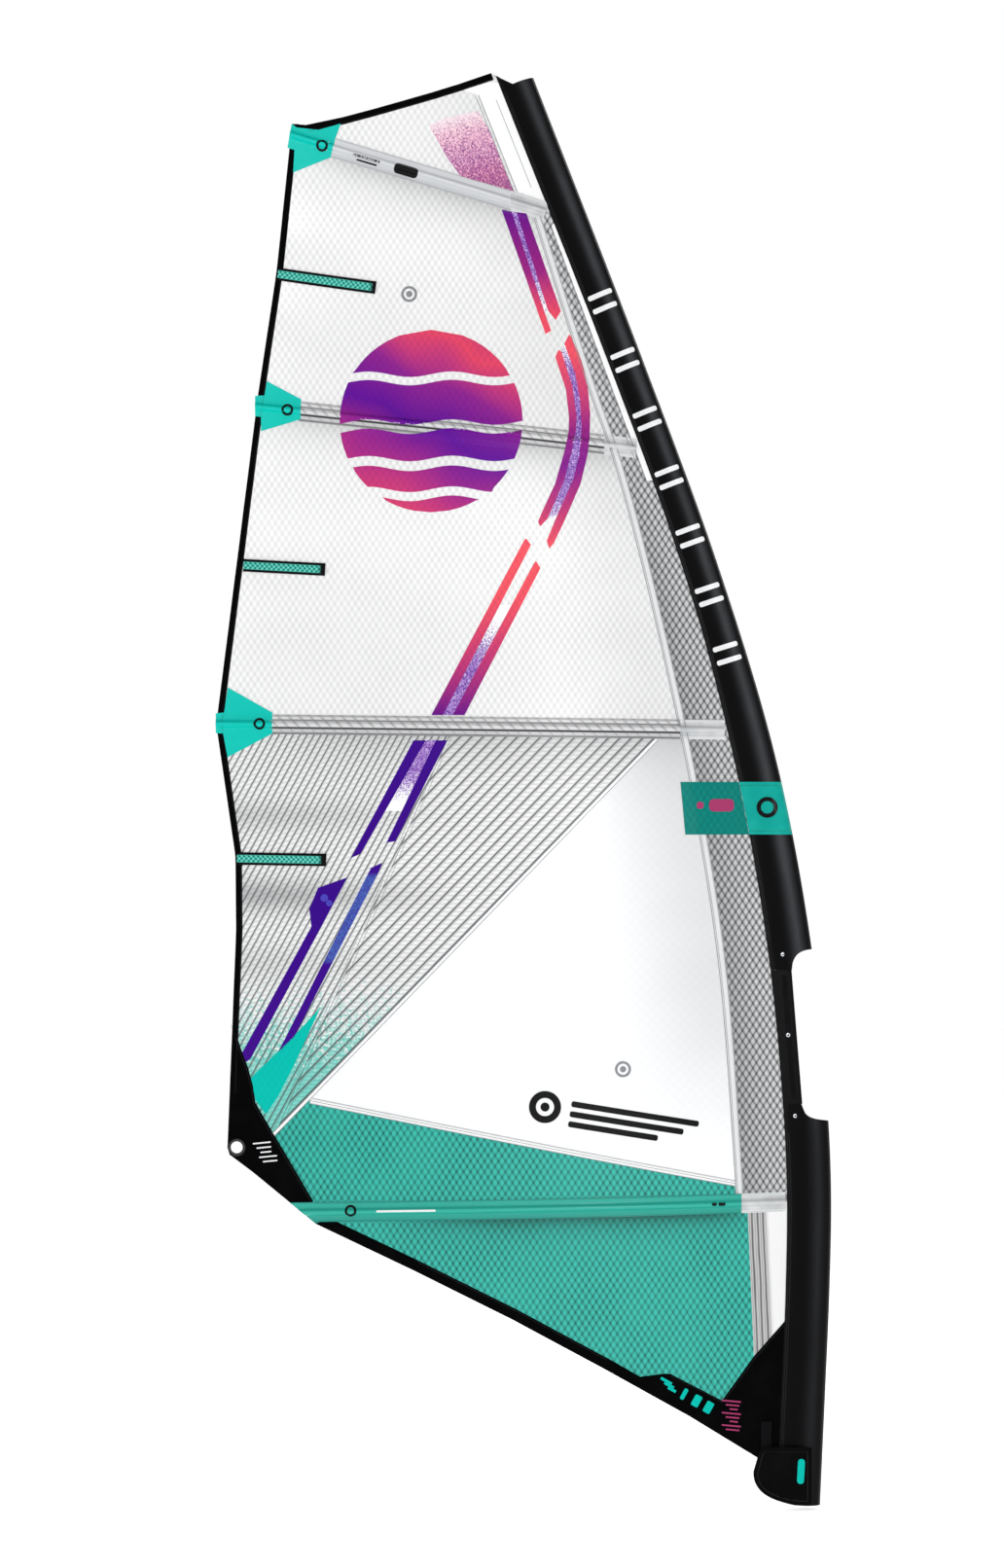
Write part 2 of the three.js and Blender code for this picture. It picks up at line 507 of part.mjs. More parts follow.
for (const batten of BATTENS) {
  const { name, rod, coverFrom, guard } = batten;
  const frame = battenFrame(batten);
  const screwEnd = TENSIONER.fromLeech + TENSIONER.headLength + TENSIONER.shank;
  const tipStart = frame.length - TIP.length;

  const route = new THREE.CatmullRomCurve3(spaced(screwEnd + 1, tipStart + TIP.socket - 1, 120)
    .map((s) => frame.place(s, 0, BATTEN_OFF)));
  const section = new THREE.Shape().absarc(0, 0, rod, 0, 2 * Math.PI);
  add(`${name}_batten`, toSolid(new THREE.ExtrudeGeometry(section, { extrudePath: route,
    curveSegments: 4, steps: Math.ceil(frame.length / 140), bevelEnabled: false })),
    COLOURS.carbon, 0.4);

  const bore = rod + TIP.play;
  const tip = add(`${name}_batten_tip`, turned([[0, TIP.socket], [bore, TIP.socket], [bore, 0],
    [rod + TIP.wall, 0], [rod + TIP.wall, TIP.length - TIP.nose], [rod - 1, TIP.length],
    [0, TIP.length]]), COLOURS.grey);
  layOn(frame, tip, tipStart, TIP.length);

  const screwMesh = add(`${name}_tension_screw`, screw, COLOURS.steel, 0.3, 0.9);
  layOn(frame, screwMesh, TENSIONER.fromLeech, TENSIONER.headLength + TENSIONER.shank);
  const plugMesh = add(`${name}_tension_plug`, plug, COLOURS.grey);
  plugMesh.quaternion.copy(screwMesh.quaternion);
  plugMesh.position.copy(new THREE.Vector3(0, 0, TENSIONER.headLength + TENSIONER.shank
    - TENSIONER.plugLength).applyQuaternion(screwMesh.quaternion).add(screwMesh.position));

  let pocket = battenCover(frame, frame.at(coverFrom), frame.length,
    rod + TIP.wall + TIP.play, POCKET_WIDTH / 2).intersect(outline);
  if (guard) {
    const guardCover = battenCover(frame, GUARD.from, GUARD.to, TENSIONER.plug + GUARD.play,
      GUARD.half);
    add(`${name}_leech_guard`, guardCover.intersect(prism(guard)), COLOURS.teal);
    pocket = pocket.subtract(prism(moved(guard, GAP, 0)));
  }
  add(`${name}_batten_pocket`, pocket, guard ? COLOURS.film : COLOURS.teal);
}

const miniStock = sailSheet(MINI.thickness, MINI.off);
for (const { name, from, to } of MINI_BATTENS) {
  const middle = beside([from, to], -MINI.width / 2);
  add(name, miniStock.intersect(strip(middle, MINI.width)), COLOURS.teal);
}

// ---------------------------------------------------------------- tack pulley and its flap

const acrossX = (geometry) => geometry.rotateY(Math.PI / 2);
const rollerHalf = PULLEY.width / 2;
const roller = turned([[PULLEY.bore, -rollerHalf], [PULLEY.roller, -rollerHalf],
  [PULLEY.groove, 0], [PULLEY.roller, rollerHalf], [PULLEY.bore, rollerHalf],
  [PULLEY.bore, -rollerHalf]], 18);
[-1, 0, 1].forEach((place, i) => {
  const mesh = add(`pulley_roller_${i + 1}`, acrossX(toGeometry(roller)), COLOURS.black, 0.4);
  mesh.position.set(PULLEY.x + place * PULLEY.space, 0, PULLEY.z);
});

const cheekInner = 1.5 * PULLEY.space + PULLEY.play;
const cheekOuter = cheekInner + PULLEY.cheek;
const box = (dx, dy, dz, x, y, z) => toSolid(new THREE.BoxGeometry(dx, dy, dz).translate(x, y, z));
const pinHole = toSolid(acrossX(new THREE.CylinderGeometry(PULLEY.axle + GAP,
  PULLEY.axle + GAP, 4 * cheekOuter, 16).rotateX(Math.PI / 2)));
const cheekHeight = PULLEY.below + PULLEY.above;
const cheekMiddle = (PULLEY.above - PULLEY.below) / 2;
const cheeks = [-1, 1].map((side) => box(PULLEY.cheek, PULLEY.cheekWidth, cheekHeight,
  side * (cheekInner + PULLEY.cheek / 2), 0, cheekMiddle));
const bar = box(2 * cheekOuter, PULLEY.cheekWidth, PULLEY.cheek, 0, 0,
  PULLEY.above - PULLEY.cheek / 2);
const pulleyFrame = add('pulley_frame', bar.add(cheeks[0]).add(cheeks[1]).subtract(pinHole),
  COLOURS.steel, 0.3, 0.9);
pulleyFrame.position.set(PULLEY.x, 0, PULLEY.z);
const pinReach = cheekOuter + GAP;
const pinEnd = pinReach + PULLEY.headThickness;
const axle = add('pulley_axle', acrossX(toGeometry(turned([[0, -pinEnd],
  [PULLEY.axleHead, -pinEnd], [PULLEY.axleHead, -pinReach], [PULLEY.axle, -pinReach],
  [PULLEY.axle, pinReach], [PULLEY.axleHead, pinReach], [PULLEY.axleHead, pinEnd],
  [0, pinEnd]]))), COLOURS.steel, 0.3, 0.9);
axle.position.set(PULLEY.x, 0, PULLEY.z);

const strapPath = [[-1.5, PULLEY.z + PULLEY.above + STRAP.lift],
  ...STRAP.heights.map((z) => [clothY(PULLEY.x, z) - STRAP.off, z])];
const strapRing = ([y, z]) => [[-1, -1], [1, -1], [1, 1], [-1, 1]].map(([right, back]) => (
  new THREE.Vector3(PULLEY.x + right * STRAP.half, y + back * STRAP.thickness / 2, z)));
add('pulley_strap', loft(strapPath.map(strapRing)), COLOURS.black, 0.8);

const hingeX = FLAP.plan[0][0];
const flapOutline = new THREE.Shape();
flapOutline.moveTo(hingeX, FLAP.bottom);
flapOutline.lineTo(hingeX, FLAP.top);
flapOutline.lineTo(FLAP.cornerX, FLAP.top);
flapOutline.lineTo(...FLAP.side);
flapOutline.quadraticCurveTo(...FLAP.pull, FLAP.toeX, FLAP.bottom);
const flapSide = (shift) => FLAP.plan.toReversed().map(([x, y]) => [0, FLAP.top + 10]
  .map((z) => new THREE.Vector3(x, y + shift, z)));
add('tack_flap', slab(flapSide(0), flapSide(FLAP.thickness)).intersect(prism(flapOutline)),
  COLOURS.black, 0.8);

export default sail;
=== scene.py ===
"""The looks of a windsurf wave sail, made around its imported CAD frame.

Metres, in the frame of the CAD: X runs from the leech to the luff, Z up the mast and Y through
the sail, so its convex leeward side faces -Y. Panels, patches, pockets and the luff sleeve are
remade as fine cloth on the sail's own curved surface; the hard parts are turned and bent metal
and plastic at the places that the frame gives.
"""
import math
import bmesh
import bpy
import numpy as np
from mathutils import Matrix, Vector
from mathutils.geometry import delaunay_2d_cdt


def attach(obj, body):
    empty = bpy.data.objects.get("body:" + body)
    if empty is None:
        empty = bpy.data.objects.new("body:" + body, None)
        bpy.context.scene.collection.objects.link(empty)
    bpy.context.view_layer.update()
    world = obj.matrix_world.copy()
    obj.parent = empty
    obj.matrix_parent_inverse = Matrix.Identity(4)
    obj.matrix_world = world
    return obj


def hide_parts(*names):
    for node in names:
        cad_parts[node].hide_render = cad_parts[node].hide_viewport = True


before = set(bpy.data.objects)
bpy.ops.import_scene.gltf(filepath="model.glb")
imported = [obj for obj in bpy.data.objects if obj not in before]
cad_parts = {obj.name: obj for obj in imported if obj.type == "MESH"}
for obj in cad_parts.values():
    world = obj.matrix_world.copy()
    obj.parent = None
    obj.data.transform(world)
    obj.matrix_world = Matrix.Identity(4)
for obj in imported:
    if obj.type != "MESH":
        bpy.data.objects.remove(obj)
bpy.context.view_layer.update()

# ---------------------------------------------------------------- driving dimensions

HEAD_TIP = (-0.911, 4.114)
HEAD_CORNER = (-1.481, 3.960)
HEAD_HOLLOW = [(-1.441, 3.958), (-1.335, 3.982), (-1.252, 4.005), (-1.170, 4.029),
               (-1.080, 4.056), (-1.006, 4.080)]
CLEW_TIP = (-1.663, 1.006)
CLEW_CORNER = (-1.669, 1.026)
TACK = (-0.143, 0.134)
LEECH = [HEAD_CORNER, (-1.526, 3.540), (-1.579, 3.192), (-1.701, 2.242), (-1.646, 1.864),
         (-1.644, 1.655), CLEW_CORNER]
FOOT = [(-1.596, 0.956), (-1.414, 0.808), (-1.132, 0.676), (-0.850, 0.537), (-0.590, 0.397),
        (-0.341, 0.257), TACK]

DRAFT = [(0, 0.02), (0.85, 0.042), (1.5, 0.052), (2.24, 0.056), (3.04, 0.048), (3.72, 0.034),
         (4.2, 0.02)]
FULLEST_AT = 0.38
SAG = 0.012
TWIST = 0.070
BOOM_HEIGHT = 1.35
LEECH_WAVE = 0.0028
LUFF_WAVE = 0.0012

SLEEVE_FRONT = [(0, 0.032), (0.325, 0.047), (0.605, 0.059), (0.885, 0.064), (1.105, 0.056),
                (1.6, 0.008), (2.145, -0.095), (2.705, -0.263), (3.26, -0.466), (4.1, -0.792),
                (4.2, -0.831)]
SLEEVE_WIDTH = [(0, 0.124), (2.15, 0.119), (2.6, 0.104), (4.2, 0.104)]
MAST_ROOM = (0.034, 0.027)
SLEEVE_SEAM = 0.014
BAND = (1.926, 2.077)
CUTOUT = {"top": 1.537, "bottom": 1.151, "top_x": -0.048, "bottom_x": -0.017, "radius": 0.059,
          "lip": 0.047, "lip_run": 0.073}

BATTENS = {
    "bottom": {"leech": (-1.453, 0.841), "luff": (-0.066, 0.871), "rod": 0.005, "cover": -1.500,
               "clear_from": -0.193},
    "lower": {"leech": (-1.701, 2.244), "luff": (-0.240, 2.226), "rod": 0.0045, "cover": -1.545,
              "clear_from": -0.369,
              "guard": [(-1.702, 2.274), (-1.678, 2.276), (-1.667, 2.348), (-1.539, 2.276),
                        (-1.539, 2.216), (-1.668, 2.148), (-1.681, 2.216), (-1.702, 2.217)]},
    "upper": {"leech": (-1.585, 3.153), "luff": (-0.494, 3.035), "rod": 0.004, "cover": -1.460,
              "clear_from": -0.587,
              "guard": [(-1.588, 3.184), (-1.561, 3.185), (-1.554, 3.226), (-1.456, 3.174),
                        (-1.457, 3.117), (-1.571, 3.083), (-1.571, 3.124), (-1.588, 3.126)]},
    "top": {"leech": (-1.487, 3.930), "luff": (-0.754, 3.716), "rod": 0.0035, "cover": -1.380,
            "clear_from": -0.855,
            "guard": [(-1.482, 3.960), (-1.468, 3.950), (-1.405, 3.944), (-1.342, 3.963),
                      (-1.357, 3.921), (-1.371, 3.866), (-1.478, 3.822), (-1.474, 3.886),
                      (-1.494, 3.892)]},
}
POCKET_WIDTH = 0.056
BATTEN_OFF = 0.0076
COVER_BASE = 0.0020
TIP_WALL = 0.0020
PLUG_ROOM = 0.0070
GUARD_REACH = 0.175
MINI_BATTENS = {"lower": ((-1.641, 1.857), (-1.384, 1.853)),
                "middle": ((-1.622, 2.699), (-1.387, 2.686)),
                "upper": ((-1.522, 3.532), (-1.242, 3.494))}
MINI_WIDTH = 0.036
CLEW_EYE = (-1.642, -0.0012, 1.027)
CLEW_HOLE = 0.0205
PULLEY = (-0.121, 0.0, 0.062)
DISC = (-1.083, 3.111, 0.262)

FILM_THICKNESS = 0.0008
POCKET_SKIN = 0.0008
GUARD_SKIN = 0.0012
STRIP_THICKNESS = 0.0014
SLEEVE_WALL = 0.0016
TAPE_THICKNESS = 0.0022
PATCH_THICKNESS = 0.0026
LEECH_TAPE = 0.0190
HEAD_TAPE = 0.0210
FOOT_TAPE = 0.0310
GRID = 0.014
TINY = 1e-9

# ---------------------------------------------------------------- the sail's surface


def smooth(points):
    """A smooth line through (at, value) points, its slope at each the mean of its neighbours'."""
    at, value = np.array(points, float).T
    chords = np.diff(value) / np.diff(at)
    slopes = np.concatenate(([chords[0]], (chords[1:] + chords[:-1]) / 2, [chords[-1]]))

    def line(x):
        x = np.clip(x, at[0], at[-1])
        i = np.clip(np.searchsorted(at, x, side="right") - 1, 0, len(at) - 2)
        span = at[i + 1] - at[i]
        p = (x - at[i]) / span
        return (value[i] * (1 + 2 * p) * (1 - p) ** 2 + slopes[i] * span * p * (1 - p) ** 2
                + value[i + 1] * p * p * (3 - 2 * p) + slopes[i + 1] * span * p * p * (p - 1))
    return line


def straight(points):
    """A line of straight stretches through (at, value) points."""
    at, value = np.array(points, float).T
    return lambda x: np.interp(x, at, value)


def eased(x, start, end):
    """0 before start and 1 past end, with a soft rise between; end may be below start."""
    p = np.clip((x - start) / (end - start), 0, 1)
    return p * p * (3 - 2 * p)


sleeve_front = smooth(SLEEVE_FRONT)
sleeve_width = smooth(SLEEVE_WIDTH)
draft_at = smooth(DRAFT)
leech_chord = straight([(0, -1.640), (2.242, -1.701), (3.960, -1.481), (4.200, -1.450)])
leech_at = straight([(z, x) for x, z in reversed([*LEECH, CLEW_TIP])])
foot_at = straight([CLEW_TIP, *FOOT, (0.1, TACK[1])])
mesh_at = smooth([(0.835, -0.193), (0.970, -0.201), (1.545, -0.246), (1.923, -0.302),
                  (2.297, -0.374), (2.993, -0.545), (3.206, -0.619), (3.740, -0.790)])


def sleeve_back(z):
    return sleeve_front(z) - sleeve_width(z)


def batten_seam(name):
    """The height of a batten's middle line as a function of x."""
    (x0, z0), (x1, z1) = BATTENS[name]["leech"], BATTENS[name]["luff"]
    return lambda x: z0 + (z1 - z0) * (x - x0) / (x1 - x0)


SEAMS = {name: batten_seam(name) for name in BATTENS}
BOTTOM, LOWER, UPPER, TOP = SEAMS.values()


def between_battens(x, z):
    """0 on a batten and outside the outer two, and 1 halfway between two of them."""
    rise = np.zeros(np.shape(x))
    for low, high in ((BOTTOM, LOWER), (LOWER, UPPER), (UPPER, TOP)):
        share = np.clip((z - low(x)) / (high(x) - low(x)), 0, 1)
        rise = rise + np.sin(np.pi * share) ** 2
    return rise


def chord_share(x, z):
    """0 at the sleeve's back edge and 1 at the leech."""
    back = sleeve_back(z)
    return np.minimum((back - x) / (back - leech_chord(z)), 1)


def cloth_y(x, z):
    """The Y of the middle of the sailcloth: its belly, twist, sag between battens and waves."""
    x, z = np.asarray(x, float), np.asarray(z, float)
    chord = sleeve_back(z) - leech_chord(z)
    u = chord_share(x, z)
    falling = 1 / FULLEST_AT - 1
    full = u * (1 - u) ** falling / (FULLEST_AT * (1 - FULLEST_AT) ** falling)
    aloft = np.maximum(0, z - BOOM_HEIGHT) / (HEAD_TIP[1] - BOOM_HEIGHT)
    loose = between_battens(x, z)
    belly = SAG * loose * 4 * u * (1 - u) - draft_at(z) * chord * full
    waves = loose * (LEECH_WAVE * eased(u, 0.68, 1.0) * np.sin(27 * z + 6 * x)
                     + LUFF_WAVE * eased(u, 0.35, 0.08) * np.sin(31 * z - 9 * x))
    return belly + waves - TWIST * aloft ** 2 * u ** 2


# ---------------------------------------------------------------- lines and outlines


def unit(vectors):
    return vectors / np.maximum(np.linalg.norm(vectors, axis=-1), TINY)[..., None]


def heading(path):
    """The direction of an open path at each of its points."""
    return unit(np.gradient(np.array(path, float), axis=0))


def leftward(run):
    """Directions in the X-Z plane turned a quarter turn, to the left as seen from leeward."""
    return np.stack([-run[:, 1], run[:, 0]], 1)


def beside(line, distance):
    """A line of points moved sideways, to the left as seen from leeward."""
    return np.array(line, float) + distance * leftward(heading(line))


def ribbon(line, left, right):
    """The outline of a ribbon along a line, from left of it to right of it."""
    return [tuple(p) for p in (*beside(line, left), *beside(line, -right)[::-1])]


def run_along(line):
    """How far along a line each of its points lies."""
    steps = np.linalg.norm(np.diff(np.array(line, float), axis=0), axis=1)
    return np.concatenate([[0], np.cumsum(steps)])


def meet(seam, edge):
    """The point where a seam, z(x), meets an edge, x(z)."""
    x, z = -1.0, 2.0
    for _ in range(40):
        z = float(seam(x))
        x = float(edge(z))
    return x, z


def on_seam(seam, start, end, step=0.05):
    """Points on a seam, z(x), from one x to another."""
    xs = np.linspace(start, end, max(2, int(abs(end - start) / step) + 1))
    return [(float(x), float(seam(x))) for x in xs]


def along_edge(edge, start, end, step=0.03):
    """Points on an edge, x(z), from one height to another, without the first."""
    heights = np.linspace(start, end, max(2, int(abs(end - start) / step) + 1))[1:]
    return [(float(edge(z)), float(z)) for z in heights]


def along_foot(start, end):
    """The foot's corners between two values of x, with both ends."""
    corners = [p for p in FOOT if min(start, end) < p[0] < max(start, end)]
    if start > end:
        corners.reverse()
    return [(start, float(foot_at(start))), *corners, (end, float(foot_at(end)))]


def bend(start, corner, end, count=41):
    """A quadratic curve from start to end, drawn towards a corner."""
    t = np.linspace(0, 1, count)[:, None]
    return (1 - t) ** 2 * start + 2 * t * (1 - t) * corner + t ** 2 * end


def refined(outline, step):
    """A closed outline with no side longer than step."""
    points = np.array(outline, float)
    made = []
    for a, b in zip(points, np.roll(points, -1, 0)):
        parts = max(1, math.ceil(np.linalg.norm(b - a) / step))
        made += [a + (b - a) * k / parts for k in range(parts)]
    return np.array(made)


def inside(outline, points):
    """Which of the points lie inside a closed outline."""
    x, z = points[:, 0], points[:, 1]
    within = np.zeros(len(points), bool)
    for (x0, z0), (x1, z1) in zip(outline, np.roll(outline, -1, 0)):
        if z0 != z1:
            within ^= ((z0 > z) != (z1 > z)) & (x < x0 + (x1 - x0) * (z - z0) / (z1 - z0))
    return within


def edge_distance(outline, points):
    """The distance from each point to a closed outline."""
    nearest = np.full(len(points), np.inf)
    for a, b in zip(outline, np.roll(outline, -1, 0)):
        side = b - a
        t = np.clip(((points - a) @ side) / max(side @ side, TINY), 0, 1)
        nearest = np.minimum(nearest, np.linalg.norm(points - a - t[:, None] * side, axis=1))
    return nearest


def area_of(outline):
    x, z = np.array(outline, float).T
    return abs(float(x @ np.roll(z, -1) - z @ np.roll(x, -1))) / 2


def cut_size(outline):
    """The width and length of the smallest rectangle that a flat cut fits in."""
    sizes = []
    for angle in np.radians(np.arange(0, 90, 1.0)):
        turn = np.array([[math.cos(angle), -math.sin(angle)], [math.sin(angle), math.cos(angle)]])
        sizes.append(sorted(np.ptp(np.array(outline, float) @ turn, axis=0).tolist()))
    return min(sizes, key=lambda size: size[0] * size[1])


# ---------------------------------------------------------------- meshes


def make_object(name, mesh_data, material, body="sail", slot=None, stands_for=()):
    """A piece from (points, faces), riding on a CAD body."""
    verts, faces = mesh_data
    mesh = bpy.data.meshes.new(name)
    mesh.from_pydata([tuple(v) for v in verts], [], [tuple(f) for f in faces])
    mesh.validate()
    mesh.polygons.foreach_set("use_smooth", [True] * len(mesh.polygons))
    mesh.set_sharp_from_angle(angle=math.radians(45))
    piece = bpy.data.objects.new(name, mesh)
    bpy.context.scene.collection.objects.link(piece)
    mesh.materials.append(material)
    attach(piece, body)
    if stands_for:
        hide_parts(*stands_for)
    return piece


def set_attribute(piece, name, values):
    attribute = piece.data.attributes.new(name, "FLOAT", "POINT")
    attribute.data.foreach_set("value", np.asarray(values, np.float32))


def within_loops(loops, points):
    """Which points lie inside the first loop and outside the others."""
    keep = inside(loops[0], points)
    for hole in loops[1:]:
        keep &= ~inside(hole, points)
    return keep


def plain_grid(low, high, step):
    """Staggered rows of points over a rectangle."""
    columns, rows = np.ceil((high - low) / step).astype(int) + 1
    i, j = np.meshgrid(np.arange(columns), np.arange(rows), indexing="ij")
    return np.stack([low[0] + (i + 0.5 * (j % 2)) * step, low[1] + j * step], -1)


def triangulated(outline, step, extra=None, holes=()):
    """The points and triangles of a flat cut: its outline, its holes and a grid inside them."""
    loops = [refined(loop, step) for loop in (outline, *holes)]
    if extra is None:
        extra = plain_grid(loops[0].min(0), loops[0].max(0), step)
    grid = extra.reshape(-1, 2)
    grid = grid[within_loops(loops, grid)]
    for loop in loops:
        grid = grid[edge_distance(loop, grid) > 0.35 * step]
    edges, start = [], 0
    for loop in loops:
        edges += [(start + k, start + (k + 1) % len(loop)) for k in range(len(loop))]
        start += len(loop)
    made = delaunay_2d_cdt([Vector(p) for p in (*np.concatenate(loops), *grid)], edges, [], 0, 1e-7)
    points = np.array([tuple(p) for p in made[0]])
    triangles = np.array([f for f in made[2] if len(f) == 3])
    triangles = triangles[within_loops(loops, points[triangles].mean(1))]
    a, b, c = (points[triangles[:, k]] for k in range(3))
    flipped = np.cross(b - a, c - a) < 0
    triangles[flipped] = triangles[flipped][:, ::-1]
    return points, triangles


def thick_sheet(points, triangles, front, back):
    """A closed sheet: triangles in the X-Z plane raised to a front and a back layer."""
    count = len(points)
    verts = np.concatenate([np.stack([points[:, 0], y, points[:, 1]], 1) for y in (front, back)])
    sides = np.concatenate([triangles[:, [0, 1]], triangles[:, [1, 2]], triangles[:, [2, 0]]])
    keys = {tuple(side) for side in sides.tolist()}
    rims = [(b, a, a + count, b + count) for a, b in keys if (b, a) not in keys]
    return verts, triangles.tolist() + (triangles[:, ::-1] + count).tolist() + sorted(rims)


def lay(name, outline, material, thickness=FILM_THICKNESS, offset=0.0, step=GRID, extra=None,
        holes=(), relief=None, fields=None, strip=None, **given):
    """A sheet of cloth or film on the sail: offset is how far it stands to leeward.

    relief adds a height over the surface at points (n, 2), and fields gives the values there that
    the material reads. The sheet is cut to its outline; strip, a (line, width), has no effect
    on it.
    """
    points, triangles = triangulated(outline, step, extra, holes)
    middle = cloth_y(points[:, 0], points[:, 1]) - offset
    if relief:
        middle = middle - relief(points)
    mesh_data = thick_sheet(points, triangles, middle - thickness / 2, middle + thickness / 2)
    piece = make_object(name, mesh_data, material, **given)
    for field, rule in (fields or {}).items():
        set_attribute(piece, field, np.tile(rule(points), 2))
    if strip:
        line, width = strip
        run_along(line)[-1]
    else:
        cut_size(outline)
        area_of(outline)


def lofted(rings, closed=False, caps=True):
    """The points and faces of a skin over rings of points, each ring with as many points."""
    count, size = len(rings), len(rings[0])
    faces = []
    for i in range(count if closed else count - 1):
        a, b = i * size, (i + 1) % count * size
        faces += [(a + k, a + (k + 1) % size, b + (k + 1) % size, b + k) for k in range(size)]
    if caps and not closed:
        faces += [tuple(range(size))[::-1], tuple(range((count - 1) * size, count * size))]
    return np.reshape(rings, (-1, 3)), faces


def turns_of(count):
    return 2 * np.pi * np.arange(count) / count


def tube(path, radius, sides=6, closed=False):
    """The points and faces of a round tube along a path of 3-D points."""
    path = np.array(path, float)
    if closed:
        run = unit(np.roll(path, -1, 0) - np.roll(path, 1, 0))
    else:
        run = heading(path)
    side = np.cross(run, [0.0, 1.0, 0.0])
    short = np.linalg.norm(side, axis=1) < 0.2
    side[short] = np.cross(run[short], [1.0, 0.0, 0.0])
    side = unit(side)
    up = np.cross(side, run)
    turns = turns_of(sides)[None, :, None]
    return lofted(path[:, None] + radius * (np.cos(turns) * side[:, None]
                                            + np.sin(turns) * up[:, None]), closed)


def merged(parts):
    """Several (points, faces) meshes as one."""
    verts, faces, start = [], [], 0
    for points, part_faces in parts:
        verts.append(np.asarray(points, float))
        faces += [tuple(start + k for k in face) for face in part_faces]
        start += len(points)
    return np.concatenate(verts), faces


def turned(profile, segments=48):
    """A turned part about +Z from its closed (radius, height) profile."""
    radius, height = np.array(profile, float).T
    turns = turns_of(segments)
    verts = np.stack([np.outer(np.cos(turns), radius), np.outer(np.sin(turns), radius),
                      np.tile(height, (segments, 1))], -1).reshape(-1, 3)
    count = len(profile)
    sides = [(k, (k + 1) % count) for k in range(count) if radius[k] or radius[(k + 1) % count]]
    faces = []
    for i in range(segments):
        a, b = i * count, (i + 1) % segments * count
        faces += [(a + k, b + k, b + n, a + n) for k, n in sides]
    return verts, faces


def aimed(mesh_data, origin, axis):
    """A part made about +Z, turned so that +Z points along an axis, and moved to an origin."""
    turn = Vector(axis).to_track_quat("Z", "Y").to_matrix()
    return np.asarray(mesh_data[0]) @ np.array(turn).T + np.asarray(origin), mesh_data[1]




# ---------------------------------------------------------------- materials


def rgb(red, green, blue):
    """A colour from sRGB numbers of 0 to 255."""
    parts = [c / 255 for c in (red, green, blue)]
    return (*[c / 12.92 if c <= 0.04045 else ((c + 0.055) / 1.055) ** 2.4 for c in parts], 1.0)


class Value:
    """A number or colour that varies over a surface; a | b is the larger of two numbers."""

    def __init__(self, paint, socket):
        self.paint = paint
        self.socket = socket

    def __add__(self, other):
        return self.paint.math("ADD", self, other)

    def __sub__(self, other):
        return self.paint.math("SUBTRACT", self, other)

    def __rsub__(self, other):
        return self.paint.math("SUBTRACT", other, self)

    def __mul__(self, other):
        return self.paint.math("MULTIPLY", self, other)

    def __truediv__(self, other):
        return self.paint.math("DIVIDE", self, other)

    def __or__(self, other):
        return self.paint.math("MAXIMUM", self, other)

    def __abs__(self):
        return self.paint.math("ABSOLUTE", self)


